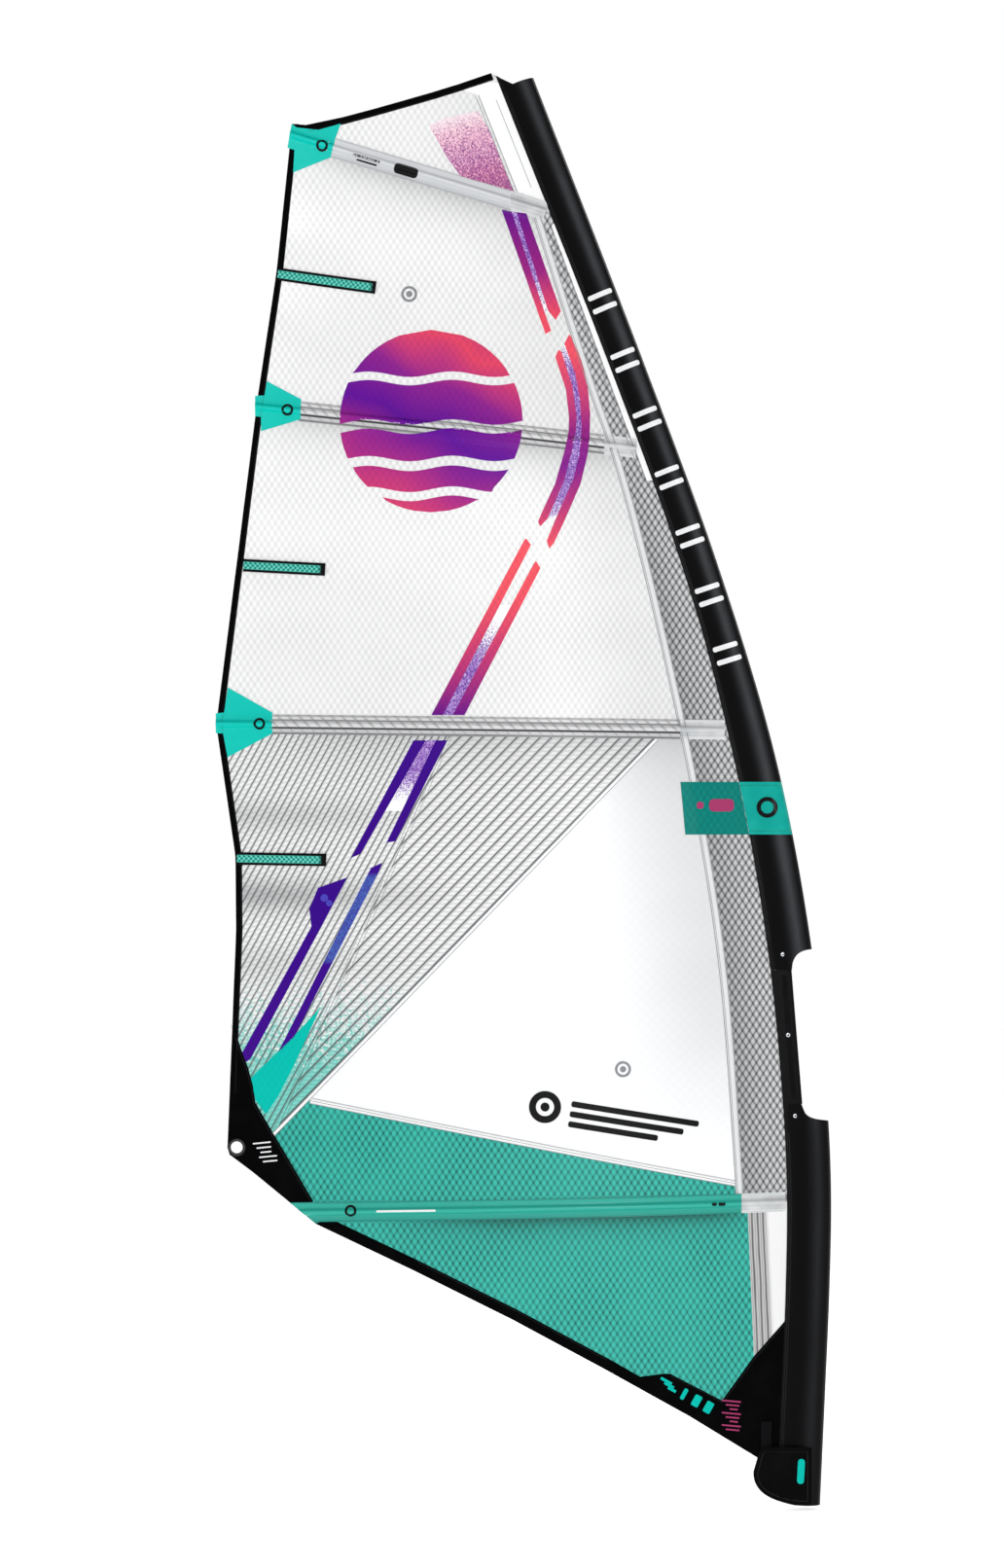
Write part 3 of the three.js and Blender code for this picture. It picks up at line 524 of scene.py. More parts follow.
class Paint:
    """One material's nodes, built on the place of each point in the sail's frame."""

    def __init__(self, name, roughness=0.5, specular=0.5, metallic=0.0, alpha=1.0, coat=0.0):
        self.material = bpy.data.materials.new(name)
        self.material.use_nodes = True
        self.tree = self.material.node_tree
        self.shader = self.tree.nodes["Principled BSDF"]
        for socket, value in (("Roughness", roughness), ("Specular IOR Level", specular),
                              ("Metallic", metallic), ("Alpha", alpha), ("Coat Weight", coat)):
            self.set(socket, value)
        self.place = self.node("ShaderNodeTexCoord").outputs["Object"]
        split = self.node("ShaderNodeSeparateXYZ", {0: self.place}).outputs
        self.x = Value(self, split[0])
        self.z = Value(self, split[2])

    def feed(self, socket, value):
        value = getattr(value, "socket", value)
        if isinstance(value, bpy.types.NodeSocket):
            self.tree.links.new(value, socket)
        else:
            socket.default_value = value

    def set(self, name, value):
        self.feed(self.shader.inputs[name], value)

    def node(self, kind, inputs=None, **settings):
        made = self.tree.nodes.new(kind)
        for key, value in settings.items():
            setattr(made, key, value)
        for key, value in (inputs or {}).items():
            self.feed(made.inputs[key], value)
        return made

    def value(self, kind, inputs, output=0, **settings):
        return Value(self, self.node(kind, inputs, **settings).outputs[output])

    def math(self, operation, *values):
        return self.value("ShaderNodeMath", dict(enumerate(values)), operation=operation)

    def fade(self, value, start, end, low=0.0, high=1.0):
        """A soft change from low to high as value goes from start to end."""
        return self.value("ShaderNodeMapRange", {0: value, 1: start, 2: end, 3: low, 4: high},
                          interpolation_type="SMOOTHSTEP")

    def mix(self, factor, a, b):
        """The colour a, going to b as factor goes from 0 to 1."""
        return self.value("ShaderNodeMix", {0: factor, 6: a, 7: b}, 2, data_type="RGBA")

    def ramp(self, value, stops):
        made = self.node("ShaderNodeValToRGB", {0: value})
        made.color_ramp.elements[0].position, made.color_ramp.elements[0].color = stops[0]
        made.color_ramp.elements[1].position, made.color_ramp.elements[1].color = stops[-1]
        for position, colour in stops[1:-1]:
            made.color_ramp.elements.new(position).color = colour
        return Value(self, made.outputs[0])

    def noise(self, scale, detail=3.0, roughness=0.5, along_z=1.0):
        """Noise with a scale up the sail that is a share of its scale across it."""
        place = self.place
        if along_z != 1.0:
            place = self.node("ShaderNodeMapping", {"Vector": place,
                                                    "Scale": (1.0, 1.0, along_z)}).outputs[0]
        return self.value("ShaderNodeTexNoise", {"Vector": place, "Scale": scale, "Detail": detail,
                                                 "Roughness": roughness})

    def attribute(self, name):
        return self.value("ShaderNodeAttribute", {}, "Fac", attribute_name=name)

    def waves(self, value, pitch, thin):
        """1 on lines a pitch apart, thin being their half width as a share of the pitch."""
        phase = self.math("FRACT", value / pitch)
        return self.fade(abs(phase - 0.5), 0.0, thin, 1.0, 0.0)

    def across(self, angle):
        """The distance across lines that run at an angle from +X, in the X-Z plane."""
        turn = math.radians(angle)
        return self.z * math.cos(turn) - self.x * math.sin(turn)

    def lattice(self, width, height, thin):
        """(either, both): 1 on the yarns of a diamond scrim, and 1 where two of them cross."""
        along, up = self.x / width, self.z / height
        one = self.waves(along + up, 1.0, thin)
        other = self.waves(along - up, 1.0, thin)
        return one | other, one * other

    def threads(self, pitch):
        """1 on the crossings of a plain weave."""
        return self.waves(self.x, pitch, 0.5) * self.waves(self.z, pitch, 0.5)

    def bump(self, height, distance, strength=1.0):
        self.set("Normal", self.value("ShaderNodeBump", {"Height": height, "Distance": distance,
                                                         "Strength": strength}))

    def colour(self, value):
        self.set("Base Color", value)
        return self.material

    def shaded(self, tone, shadow):
        """The finished colour, darkened by the soft shading that the sheet carries."""
        return self.colour(self.mix(self.attribute("shade"), tone, shadow))


SCRIM = (0.0200, 0.0310)
WHITE = rgb(250, 250, 250)
FILM_GREY = rgb(240, 240, 240)
SHADOW = rgb(92, 94, 98)


def film_paint(name, base, yarn, strength, alpha=1.0, thin=0.3, shadow=SHADOW, roughness=0.3,
               scrim=SCRIM, specular=0.25):
    """Laminated film with a diamond scrim of yarns in it."""
    paint = Paint(name, roughness=roughness, specular=specular, alpha=alpha)
    either, both = paint.lattice(*scrim, thin)
    uneven = paint.fade(paint.noise(7.0, 4.0), 0.3, 0.7, 0.85, 1.1)
    tone = paint.mix((either + both) * (0.5 * strength) * uneven, base, yarn)
    paint.bump(either + paint.noise(900.0, 2.0) * 0.3, 0.00012, 0.5)
    return paint.shaded(tone, shadow)


FAN_SEAM = (-1.0316, 2.2087, 66.4)
FANS = ((61.0, 0.0176), (45.9, 0.0236))
DASH_PITCH = 0.0165


def yarn_film_paint():
    """The radial panel: rows of load yarns that run to the clew, in two fans."""
    paint = Paint("radial_film", roughness=0.32, specular=0.2, alpha=0.95)
    seam_x, seam_z, seam_angle = FAN_SEAM
    turn = math.radians(seam_angle)
    side = paint.across(seam_angle) - (seam_z * math.cos(turn) - seam_x * math.sin(turn))
    fans = []
    for angle, pitch in FANS:
        across = paint.across(angle)
        line = paint.waves(across + paint.noise(90.0, 1.0) * 0.0016, pitch, 0.24)
        twin = paint.waves(across + pitch * 0.28, pitch, 0.06)
        dashes = paint.waves(paint.across(angle - 90) + across, DASH_PITCH, 0.26)
        fans.append(line * 0.98 | dashes * 0.30 | twin * 0.5)
    fan = paint.value("ShaderNodeMix", {0: paint.fade(side, -0.001, 0.001), 2: fans[1], 3: fans[0]})
    near_seam = paint.fade(side, -0.010, -0.009) * paint.fade(side, 0.010, 0.009)
    dark = fan | paint.waves(side + 0.0045, 0.009, 0.2) * near_seam * 0.8
    low = paint.z + paint.noise(150.0, 2.0, 0.7) * 0.80
    base = paint.mix(paint.fade(low, 1.86, 1.66), FILM_GREY, rgb(120, 210, 198))
    paint.bump(dark, 0.0003, 0.6)
    return paint.shaded(paint.mix(dark, base, rgb(82, 84, 87)), SHADOW)


def mesh_film_paint():
    """The luff mesh: heavy dark yarns with clear film between them."""
    paint = Paint("luff_mesh", roughness=0.4, specular=0.2)
    either, both = paint.lattice(*SCRIM, 0.44)
    cover = either * 0.70 + both * 0.30
    yarn = paint.mix(paint.fade(paint.z, 2.5, 3.6), rgb(62, 64, 68), rgb(58, 60, 63))
    paint.set("Alpha", paint.fade(cover, 0.0, 0.5, 0.72, 1.0))
    paint.bump(cover, 0.0004, 0.8)
    return paint.shaded(paint.mix(cover, rgb(236, 237, 238), yarn), rgb(60, 62, 66))


CORD_PITCH = 0.0160


def cord_film_paint():
    """The lower luff panel: broad soft rows of grey cord under clear film."""
    paint = Paint("luff_cords", roughness=0.35, specular=0.25, alpha=0.97)
    slant = paint.x + paint.z * 0.047
    wander = paint.noise(24.0, 2.0, along_z=0.25) * 0.010
    cords = paint.waves(slant + wander, CORD_PITCH, 0.44)
    thin = paint.waves(slant, CORD_PITCH / 2, 0.22)
    grey = cords * 0.95 | thin * 0.85 | 0.44
    fade = paint.fade(slant, -0.074, -0.088) * paint.fade(slant, -0.154, -0.148, 0.15)
    paint.bump(grey, 0.0004, 0.7)
    return paint.shaded(paint.mix(grey * fade, FILM_GREY, rgb(72, 71, 73)), SHADOW)


def fabric_paint(name, base, light, roughness, specular, thread=0.0011, weave=0.0003):
    """Woven cloth with its threads and slight wear."""
    paint = Paint(name, roughness=roughness, specular=specular)
    threads = paint.threads(thread)
    worn = paint.fade(paint.noise(11.0, 5.0, 0.6), 0.42, 0.75, 0.0, 0.35)
    paint.bump(threads + paint.noise(60.0, 3.0) * 0.5, weave, 0.6)
    return paint.colour(paint.mix(threads * 0.35 + worn, base, light))


def sleeve_paint():
    """Coated black cloth with a painted highlight down the round front of the mast pocket."""
    paint = Paint("sleeve_cloth", roughness=0.36, specular=0.06)
    threads = paint.threads(0.0016)
    creases = paint.noise(9.0, 3.0, 0.6, along_z=0.35)
    # Painted highlight, broken up a little by the crease noise.
    painted_highlight = paint.attribute("painted_highlight") * paint.fade(creases, 0.3, 0.7, 0.75, 1.1)
    tone = paint.mix(threads * 0.35, rgb(5, 5, 6), rgb(15, 15, 17))
    paint.bump(threads + creases * 0.5, 0.00016, 0.5)
    # The light grey is the painted highlight's colour.
    return paint.colour(paint.mix(painted_highlight, tone, rgb(56, 57, 60)))


def ink_paint(name, stops, low, high, speckle=None, speckle_at=None, lean=0.0, drift=0.03):
    """Printed ink whose colour runs from low to high up the sail, the scrim showing through."""
    paint = Paint(name, roughness=0.36, specular=0.06)
    either, both = paint.lattice(*SCRIM, 0.3)
    height = (paint.z + (paint.x - DISC[0]) * lean - low) / (high - low)
    tone = paint.ramp(height + (paint.noise(5.0, 1.0) - 0.5) * drift, stops)
    if speckle:
        bottom, top = speckle_at
        spots = paint.fade(paint.noise(330.0, 2.0, 0.7), 0.48, 0.56)
        band = paint.fade(paint.z, bottom - 0.02, bottom) * paint.fade(paint.z, top + 0.02, top)
        tone = paint.mix(band * (spots * 0.7 + 0.3), tone, speckle)
    paint.bump(either, 0.00012, 0.4)
    return paint.colour(paint.mix((either + both) * 0.09, tone, rgb(40, 20, 70)))


def printed_film(name):
    """A paint of plain scrim film, and the film's colour, for inks that only partly cover it."""
    paint = Paint(name, roughness=0.34, specular=0.4)
    either, both = paint.lattice(*SCRIM, 0.3)
    paint.bump(either, 0.00012, 0.4)
    return paint, paint.mix((either + both) * 0.1, WHITE, rgb(170, 172, 178))


def glitter_paint(name, grain, bands):
    """Film with a drift of fine violet specks, which thins out past each band's heights."""
    paint, film = printed_film(name)
    fills = []
    for low, high, thin_end in bands:
        if thin_end == "ends":
            rise = paint.fade(abs(paint.z - (low + high) / 2), (high - low) / 2, 0.0)
        else:
            rise = paint.fade(paint.z, *((low, high) if thin_end == "low" else (high, low)))
        fills.append(rise * (paint.math("GREATER_THAN", paint.z, low)
                             * paint.math("LESS_THAN", paint.z, high)))
    fill = fills[0] | fills[1] | fills[2] | fills[3]
    specks = paint.noise(grain, 2.0, 0.75)
    shown = paint.fade(specks + fill * 0.55, 0.56, 0.68)
    hue = paint.ramp(paint.noise(grain * 0.8, 2.0, 0.8), [
        (0.38, rgb(88, 28, 142)), (0.50, rgb(134, 78, 180)), (0.62, rgb(200, 176, 226))])
    return paint.colour(paint.mix(shown * paint.fade(fill, 0.0, 0.12), film, hue))


def halftone_paint():
    """The pink patch at the head: ink specks that gather towards its lower luff corner."""
    paint, film = printed_film("pink_halftone")
    down = (4.02 - (paint.z - (paint.x + 1.09) * 0.3)) / 0.26
    blush = paint.fade(down, 0.0, 0.45, 0.0, 0.92)
    pink = paint.ramp(down, [(0.0, rgb(252, 226, 232)), (0.4, rgb(248, 190, 210)),
                             (0.75, rgb(224, 130, 182)), (1.0, rgb(226, 80, 140))])
    grain = paint.noise(190.0, 2.0, 0.7) * 0.5 + paint.noise(420.0, 2.0, 0.8) * 0.5
    wash = paint.mix(blush * paint.fade(grain, 0.36, 0.50, 0.45, 1.0), film, pink)
    dots = paint.fade(grain + down * 0.09, 0.53, 0.60)
    return paint.colour(paint.mix(dots * blush, wash, rgb(132, 62, 132)))


def plastic_paint(name, base, light, roughness=0.42, specular=0.45):
    """Moulded plastic with a fine grain and scuffs."""
    paint = Paint(name, specular=specular)
    scuffs = paint.fade(paint.noise(240.0, 4.0, 0.7), 0.52, 0.72, 0.0, 0.5)
    paint.set("Roughness", paint.fade(paint.noise(60.0, 3.0), 0.3, 0.7, roughness - 0.08,
                                      roughness + 0.1))
    paint.bump(paint.noise(1500.0, 2.0), 0.00008, 0.5)
    return paint.colour(paint.mix(scuffs, base, light))


def steel_paint():
    """Brushed stainless steel."""
    paint = Paint("steel", metallic=1.0)
    streaks = paint.noise(900.0, 3.0, 0.6, along_z=0.08)
    paint.set("Roughness", paint.fade(streaks, 0.3, 0.7, 0.20, 0.42))
    paint.bump(streaks, 0.00005, 0.4)
    return paint.colour(paint.mix(paint.noise(70.0, 3.0), rgb(176, 179, 184), rgb(214, 216, 220)))


def carbon_paint():
    """Wrapped carbon rod: crossing tows under clear resin."""
    paint = Paint("carbon_rod", roughness=0.3, specular=0.5, coat=0.4)
    either, _ = paint.lattice(0.006, 0.006, 0.4)
    paint.bump(either, 0.00008, 0.5)
    return paint.colour(paint.mix(either, rgb(16, 17, 19), rgb(48, 50, 54)))


YARN_BARS = ((0.0235, 0.0014, 0.45), (0.0130, 0.0022, 0.70), (-0.0095, 0.0030, 1.0),
             (-0.0240, 0.0024, 0.80))


def pocket_paint(name, clear_from, base=(226, 226, 227), dark=(50, 51, 54), bars=True):
    """A batten pocket: a band of lengthwise yarns that ends in clear film towards the luff."""
    paint = Paint(f"{name}_pocket_film", roughness=0.3, specular=0.3)
    across, along = paint.attribute("across"), paint.attribute("along")
    if bars:
        rows = [paint.fade(abs(across - place), half_width * 1.6, half_width * 0.5, 0.0, depth)
                for place, half_width, depth in YARN_BARS]
        lift = rows[0] | rows[1] | rows[2] | rows[3]
        dashes = paint.waves(along + across, 0.0310, 0.34)
        # The fade on across is painted shade: the pocket darkens towards its lower edge.
        darkness = lift | paint.fade(across, 0.010, -0.026, 0.06, 0.30) | dashes * 0.46
    else:
        lift = paint.waves(across, POCKET_WIDTH, 0.02)
        # The fade on across is painted shade: the pocket darkens towards its lower edge.
        darkness = paint.noise(14.0, 3.0) * 0.10 + paint.fade(across, 0.006, -0.022, 0.0, 0.30)
    tone = paint.mix(darkness, rgb(*base), rgb(*dark))
    tone = paint.mix(paint.fade(abs(across), 0.0245, 0.0262) * 0.45, tone, rgb(*dark))
    clear = paint.fade(paint.x, clear_from - 0.0015, clear_from + 0.0015)
    haze = paint.mix(paint.fade(paint.noise(20.0, 2.0), 0.3, 0.7, 0.0, 0.6), rgb(204, 206, 208),
                     rgb(240, 241, 242))
    haze = paint.mix(paint.fade(abs(across), 0.020, 0.0215), haze, rgb(238, 239, 240))
    paint.set("Alpha", paint.fade(clear, 0.0, 1.0, 0.97, 0.80))
    paint.bump(lift, 0.00025, 0.6)
    return paint.colour(paint.mix(clear, tone, haze))


CHEVRON_PITCH = 0.0136


def mini_paint():
    """A short batten in its sleeve: teal chevron weave between black bindings."""
    paint = Paint("mini_batten_cloth", roughness=0.5, specular=0.06)
    across, along = paint.attribute("across"), paint.attribute("along")
    fold = abs(across)
    weave = (paint.waves(along + fold, CHEVRON_PITCH, 0.30) * 0.6
             + paint.waves(along - fold, CHEVRON_PITCH, 0.30) * 0.4)
    tone = paint.mix(weave, rgb(10, 128, 114), rgb(132, 236, 220))
    border = paint.fade(fold, 0.0106, 0.0112) | paint.attribute("cap")
    thread = paint.waves(along + across, 0.0022, 0.5)
    black = paint.mix(thread * 0.4, rgb(4, 4, 5), rgb(18, 18, 20))
    paint.bump(weave, 0.0003, 0.6)
    return paint.colour(paint.mix(border, tone, black))


PAINT = {
    "film": film_paint("sail_film", WHITE, rgb(158, 159, 161), 0.38, alpha=0.96, thin=0.45),
    "window": film_paint("window_film", rgb(250, 251, 252), rgb(232, 234, 236), 0.25, alpha=0.55,
                         roughness=0.12, scrim=(0.0310, 0.0310)),
    "teal_film": film_paint("teal_film", rgb(54, 188, 172), rgb(3, 88, 81), 0.92, alpha=0.98,
                            thin=0.42, shadow=rgb(6, 70, 64)),
    "radial": yarn_film_paint(),
    "mesh": mesh_film_paint(),
    "cords": cord_film_paint(),
    "mini": mini_paint(),
    "tape": fabric_paint("edge_tape", rgb(4, 4, 5), rgb(15, 15, 16), 0.8, 0.02),
    "teal_cloth": fabric_paint("teal_cloth", rgb(3, 158, 146), rgb(36, 188, 174), 0.45, 0.08),
    "neoprene": fabric_paint("neoprene", rgb(5, 5, 6), rgb(18, 18, 20), 0.72, 0.04, 0.0012),
    "webbing": fabric_paint("webbing", rgb(9, 9, 11), rgb(27, 28, 30), 0.75, 0.06, 0.0028, 0.0006),
    "sleeve": sleeve_paint(),
    "thread_dark": plastic_paint("dark_thread", rgb(46, 47, 50), rgb(84, 86, 90)),
    "thread_grey": plastic_paint("grey_thread", rgb(168, 171, 175), rgb(206, 208, 210)),
    "thread_teal": plastic_paint("teal_thread", rgb(10, 128, 116), rgb(40, 170, 154)),
    "white_strip": film_paint("white_strip", rgb(252, 252, 252), rgb(226, 228, 230), 0.3,
                              scrim=(0.0050, 0.0050)),
    "grey_strip": film_paint("grey_strip", rgb(226, 227, 228), rgb(196, 198, 200), 0.5,
                             scrim=(0.0050, 0.0050)),
    "teal_plastic": plastic_paint("teal_guard", rgb(4, 192, 178), rgb(30, 208, 194), 0.36, 0.12),
    "grey_plastic": plastic_paint("grey_plastic", rgb(146, 148, 152), rgb(190, 192, 196)),
    "black_plastic": plastic_paint("black_plastic", rgb(18, 18, 20), rgb(60, 61, 64)),
    "clear_teal": film_paint("clear_teal_band", rgb(6, 140, 130), rgb(2, 116, 108), 0.7,
                             alpha=0.80, thin=0.42, specular=0.08),
    "teal_ink": film_paint("teal_ink", rgb(2, 188, 174), rgb(2, 172, 158), 0.5, specular=0.05),
    "white_ink": film_paint("white_ink", rgb(236, 237, 238), rgb(220, 222, 224), 0.4),
    "black_ink": film_paint("black_ink", rgb(9, 9, 10), rgb(22, 22, 25), 0.5, specular=0.1),
    "grey_ink": film_paint("grey_ink", rgb(126, 128, 132), rgb(150, 152, 156), 0.5),
    "pink_ink": film_paint("pink_ink", rgb(178, 62, 112), rgb(104, 44, 78), 0.9,
                           scrim=(0.0070, 0.0070), specular=0.05),
    "blue_speck": film_paint("blue_speck", rgb(58, 30, 168), rgb(82, 96, 196), 1.0,
                             scrim=(0.007, 0.009)),
    "steel": steel_paint(),
    "carbon": carbon_paint(),
}

# ---------------------------------------------------------------- camera, floor and light

VIEW_CENTRE = (-0.880, 0.0, 2.071)
VIEW_DISTANCE = 15.0
VIEW_HEIGHT = 4.506
FLOOR_SIZE = 60.0
FLOOR_LEVEL = -0.012
LAMPS = {"key": ((-1.5, -6.5, 7.5), 3.0, 70), "fill": ((4.5, -5.0, 3.0), 3.0, 30),
         "front": ((0.1, -9.0, 2.4), 0.7, 170), "rim": ((2.5, 6.0, 5.0), 4.0, 150),
         "back": ((-5.0, 5.0, 3.0), 4.0, 90)}
LAMP_AIM = Vector((-0.8, 0, 2.0))


def set_the_camera():
    """A long lens level with the sail's middle."""
    camera = bpy.data.objects.new("camera", bpy.data.cameras.new("camera"))
    bpy.context.scene.collection.objects.link(camera)
    camera.location = Vector(VIEW_CENTRE) - Vector((0, VIEW_DISTANCE, 0))
    camera.rotation_euler = (math.pi / 2, 0, 0)
    camera.data.lens = camera.data.sensor_width * VIEW_DISTANCE / VIEW_HEIGHT
    camera.data.clip_end = 200
    bpy.context.scene.camera = camera


def set_the_light():
    """A white studio that lights the sail less than it shows, and five soft lamps."""
    scene = bpy.context.scene
    world = bpy.data.worlds.new("studio")
    scene.world = world
    world.use_nodes = True
    nodes, links = world.node_tree.nodes, world.node_tree.links
    lit = nodes["Background"]
    seen = nodes.new("ShaderNodeBackground")
    for shader, strength in ((lit, 0.44), (seen, 1.0)):
        shader.inputs["Color"].default_value = (1, 1, 1, 1)
        shader.inputs["Strength"].default_value = strength
    pick = nodes.new("ShaderNodeMixShader")
    links.new(nodes.new("ShaderNodeLightPath").outputs["Is Camera Ray"], pick.inputs[0])
    links.new(lit.outputs[0], pick.inputs[1])
    links.new(seen.outputs[0], pick.inputs[2])
    links.new(pick.outputs[0], nodes["World Output"].inputs["Surface"])
    scene.view_settings.view_transform = "Standard"
    for name, (place, size, power) in LAMPS.items():
        lamp = bpy.data.lights.new(name, "AREA")
        lamp.shape, lamp.size, lamp.energy = "SQUARE", size, power
        holder = bpy.data.objects.new(name, lamp)
        holder.location = place
        holder.rotation_euler = (LAMP_AIM - Vector(place)).to_track_quat("-Z", "Y").to_euler()
        scene.collection.objects.link(holder)


def lay_the_floor():
    """A wide pale floor just under the mouth of the sleeve."""
    paint = Paint("pale_floor", roughness=0.9, specular=0.1)
    paint.set("Emission Color", (1, 1, 1, 1))
    paint.set("Emission Strength", 0.62)
    paint.colour(paint.mix(paint.noise(3.0, 3.0), FILM_GREY, rgb(246, 246, 246)))
    half = FLOOR_SIZE / 2
    mesh = bpy.data.meshes.new("floor")
    mesh.from_pydata([(x, y, 0) for x, y in ((-half, -half), (half, -half), (half, half),
                                             (-half, half))], [], [(0, 1, 2, 3)])
    mesh.materials.append(paint.material)
    floor = bpy.data.objects.new("floor", mesh)
    floor.location = (0, 0, FLOOR_LEVEL)
    bpy.context.scene.collection.objects.link(floor)


set_the_camera()
set_the_light()
lay_the_floor()


# ---------------------------------------------------------------- panels

RADIAL_SEAM = [(-1.534, 1.0625), (-0.406, 2.228)]
WINDOW_CORNER = (-1.437, 1.163)
WINDOW_SEAM = straight([WINDOW_CORNER, (-0.193, 0.922), (0.200, 0.846)])
CLEW_EDGE = [(-1.6547, 1.3846), (-1.627, 1.302), (-1.610, 1.258), (-1.596, 1.207),
             (-1.588, 1.154), RADIAL_SEAM[0], (-1.423, 0.876)]
CLEW_FOOT_X = CLEW_EDGE[-1][0]
TACK_EDGE = [(-0.397, 0.380), (-0.249, 0.302), (-0.157, 0.428), (-0.067, 0.528)]
CORD_TOP = (-0.1764, 0.8685)
TUCK = 0.010


def tucked(z):
    """The front edge of the panels, which run on under the sleeve."""
    return sleeve_back(z) + TUCK


def up_the_luff(start, end):
    """Points on the panels' front edge from one height to another, with both ends."""
    return [(float(tucked(start)), start), *along_edge(tucked, start, end)]


def under_seam(seam, x, z, fall):
    """1 just under a batten, falling away below it."""
    return np.exp(-np.maximum(seam(x) - z - 0.02, 0) / fall)


# Painted shadows under the battens: each batten's seam, how dark its shadow is and how far it
# falls.
BATTEN_SHADOWS = ((BOTTOM, 0.30, 0.070), (LOWER, 0.30, 0.085), (UPPER, 0.40, 0.100), (TOP, 0.42, 0.115))


def film_shade(points):
    """Shading of the upper film: under the battens, and grey where it nears the luff."""
    x, z = points.T
    fullness = 0.35 + 0.65 * np.sin(np.pi * np.clip(chord_share(x, z), 0.02, 0.98)) ** 0.7
    shade = 0.10 * eased(x - mesh_at(z), -0.34, -0.02) + 0.020 * (1 + np.sin(7.0 * z + 2.2 * x))
    for seam, depth, fall in BATTEN_SHADOWS:
        below = seam(x) - z
        # fold is the painted shadow just below the batten, deepest where the belly is fullest.
        fold = eased(below, 0.010, 0.030) * np.exp(-np.maximum(below - 0.03, 0) / fall * 2.2)
        shade += depth * fold * fullness
    return np.clip(shade, 0, 0.9)


def window_shade(points):
    """Grey towards the luff, and the shadow under the batten above."""
    x, z = points.T
    near_luff = eased(x - mesh_at(z), -0.36, -0.01) * eased(z, 0.95, 1.5)
    return 0.26 * near_luff + 0.30 * under_seam(LOWER, x, z, 0.09) * eased(x, -0.75, -0.45)


RADIAL_BANDS = ((1.752, 0.045, 1.0), (1.980, 0.040, 0.55), (1.560, 0.05, 0.35))


def radial_shade(points):
    """Soft bands across the radial panel's leech, and the shadow under its batten."""
    x, z = points.T
    bands = sum(depth * np.exp(-((z - at) / run) ** 2) for at, run, depth in RADIAL_BANDS)
    near_leech = eased(x - leech_at(z), 0.75, 0.05)
    under = under_seam(LOWER, x, z, 0.07) * eased(x, -1.75, -1.25)
    return np.clip(0.50 * bands * near_leech + 0.38 * under, 0, 0.9)


def teal_shade(points):
    """The shadow under the bottom batten's pocket."""
    x, z = points.T
    below = BOTTOM(x) - z
    # fold is the painted shadow, falling off below the pocket's lower edge.
    fold = np.exp(-np.maximum(below - POCKET_WIDTH / 2, 0) / 0.030) * eased(below, -0.03, 0.02)
    return 0.86 * fold * eased(x, -1.35, -0.85) * eased(x, -0.10, -0.30)


def mesh_shade(points):
    """Darker towards the mesh's back edge, below the upper batten."""
    x, z = points.T
    across = np.clip((x - mesh_at(z)) / np.maximum(sleeve_back(z) - mesh_at(z), 0.01), 0, 1)
    return 0.42 * (1 - across) ** 1.5 * eased(z, 3.3, 2.6) + 0.08


def between(low, high, aft, fore):
    """The outline between two battens' seams and two edges, each x(z)."""
    low_aft, low_fore, high_fore, high_aft = (meet(low, aft), meet(low, fore), meet(high, fore),
                                              meet(high, aft))
    return [*on_seam(low, low_aft[0], low_fore[0]), *along_edge(fore, low_fore[1], high_fore[1]),
            *on_seam(high, high_fore[0], high_aft[0])[1:],
            *along_edge(aft, high_aft[1], low_aft[1])[:-1]]


window_fore = meet(WINDOW_SEAM, mesh_at)
lower_leech = meet(LOWER, leech_at)
lower_mesh = meet(LOWER, mesh_at)
bottom_mesh = meet(BOTTOM, mesh_at)
bottom_luff = meet(BOTTOM, tucked)
top_luff = meet(TOP, tucked)
PANELS = {
    "head_panel": ("film", film_shade, [
        *on_seam(TOP, meet(TOP, leech_at)[0], top_luff[0]),
        *along_edge(tucked, top_luff[1], HEAD_TIP[1] - 0.012),
        HEAD_TIP, *HEAD_HOLLOW[::-1], HEAD_CORNER]),
    "upper_panel": ("film", film_shade, between(UPPER, TOP, leech_at, mesh_at)),
    "middle_panel": ("film", film_shade, between(LOWER, UPPER, leech_at, mesh_at)),
    "radial_panel": ("radial", radial_shade, [
        *RADIAL_SEAM, *on_seam(LOWER, RADIAL_SEAM[1][0], lower_leech[0])[1:],
        *along_edge(leech_at, lower_leech[1], CLEW_EDGE[0][1]), *CLEW_EDGE[1:5]]),
    "window_panel": ("window", window_shade, [
        *on_seam(WINDOW_SEAM, WINDOW_CORNER[0], window_fore[0]),
        *along_edge(mesh_at, window_fore[1], lower_mesh[1]),
        *on_seam(LOWER, lower_mesh[0], RADIAL_SEAM[1][0])[1:]]),
    "foot_panel_upper": ("teal_film", teal_shade, [
        *on_seam(BOTTOM, CLEW_FOOT_X, bottom_mesh[0]),
        *along_edge(mesh_at, bottom_mesh[1], window_fore[1]),
        *on_seam(WINDOW_SEAM, window_fore[0], WINDOW_CORNER[0])[1:], *CLEW_EDGE[5:]]),
    "foot_panel_lower": ("teal_film", teal_shade, [
        *along_foot(CLEW_FOOT_X, TACK_EDGE[0][0]), *TACK_EDGE[:3], CORD_TOP,
        *on_seam(BOTTOM, CORD_TOP[0], CLEW_FOOT_X)[1:]]),
    "luff_mesh_panel": ("mesh", mesh_shade, between(BOTTOM, TOP, mesh_at, tucked)),
    "luff_cord_panel": ("cords", None, [
        *TACK_EDGE[2:], (-0.050, 0.547), *along_edge(tucked, 0.56, bottom_luff[1]),
        *on_seam(BOTTOM, bottom_luff[0], CORD_TOP[0])[1:]]),
}
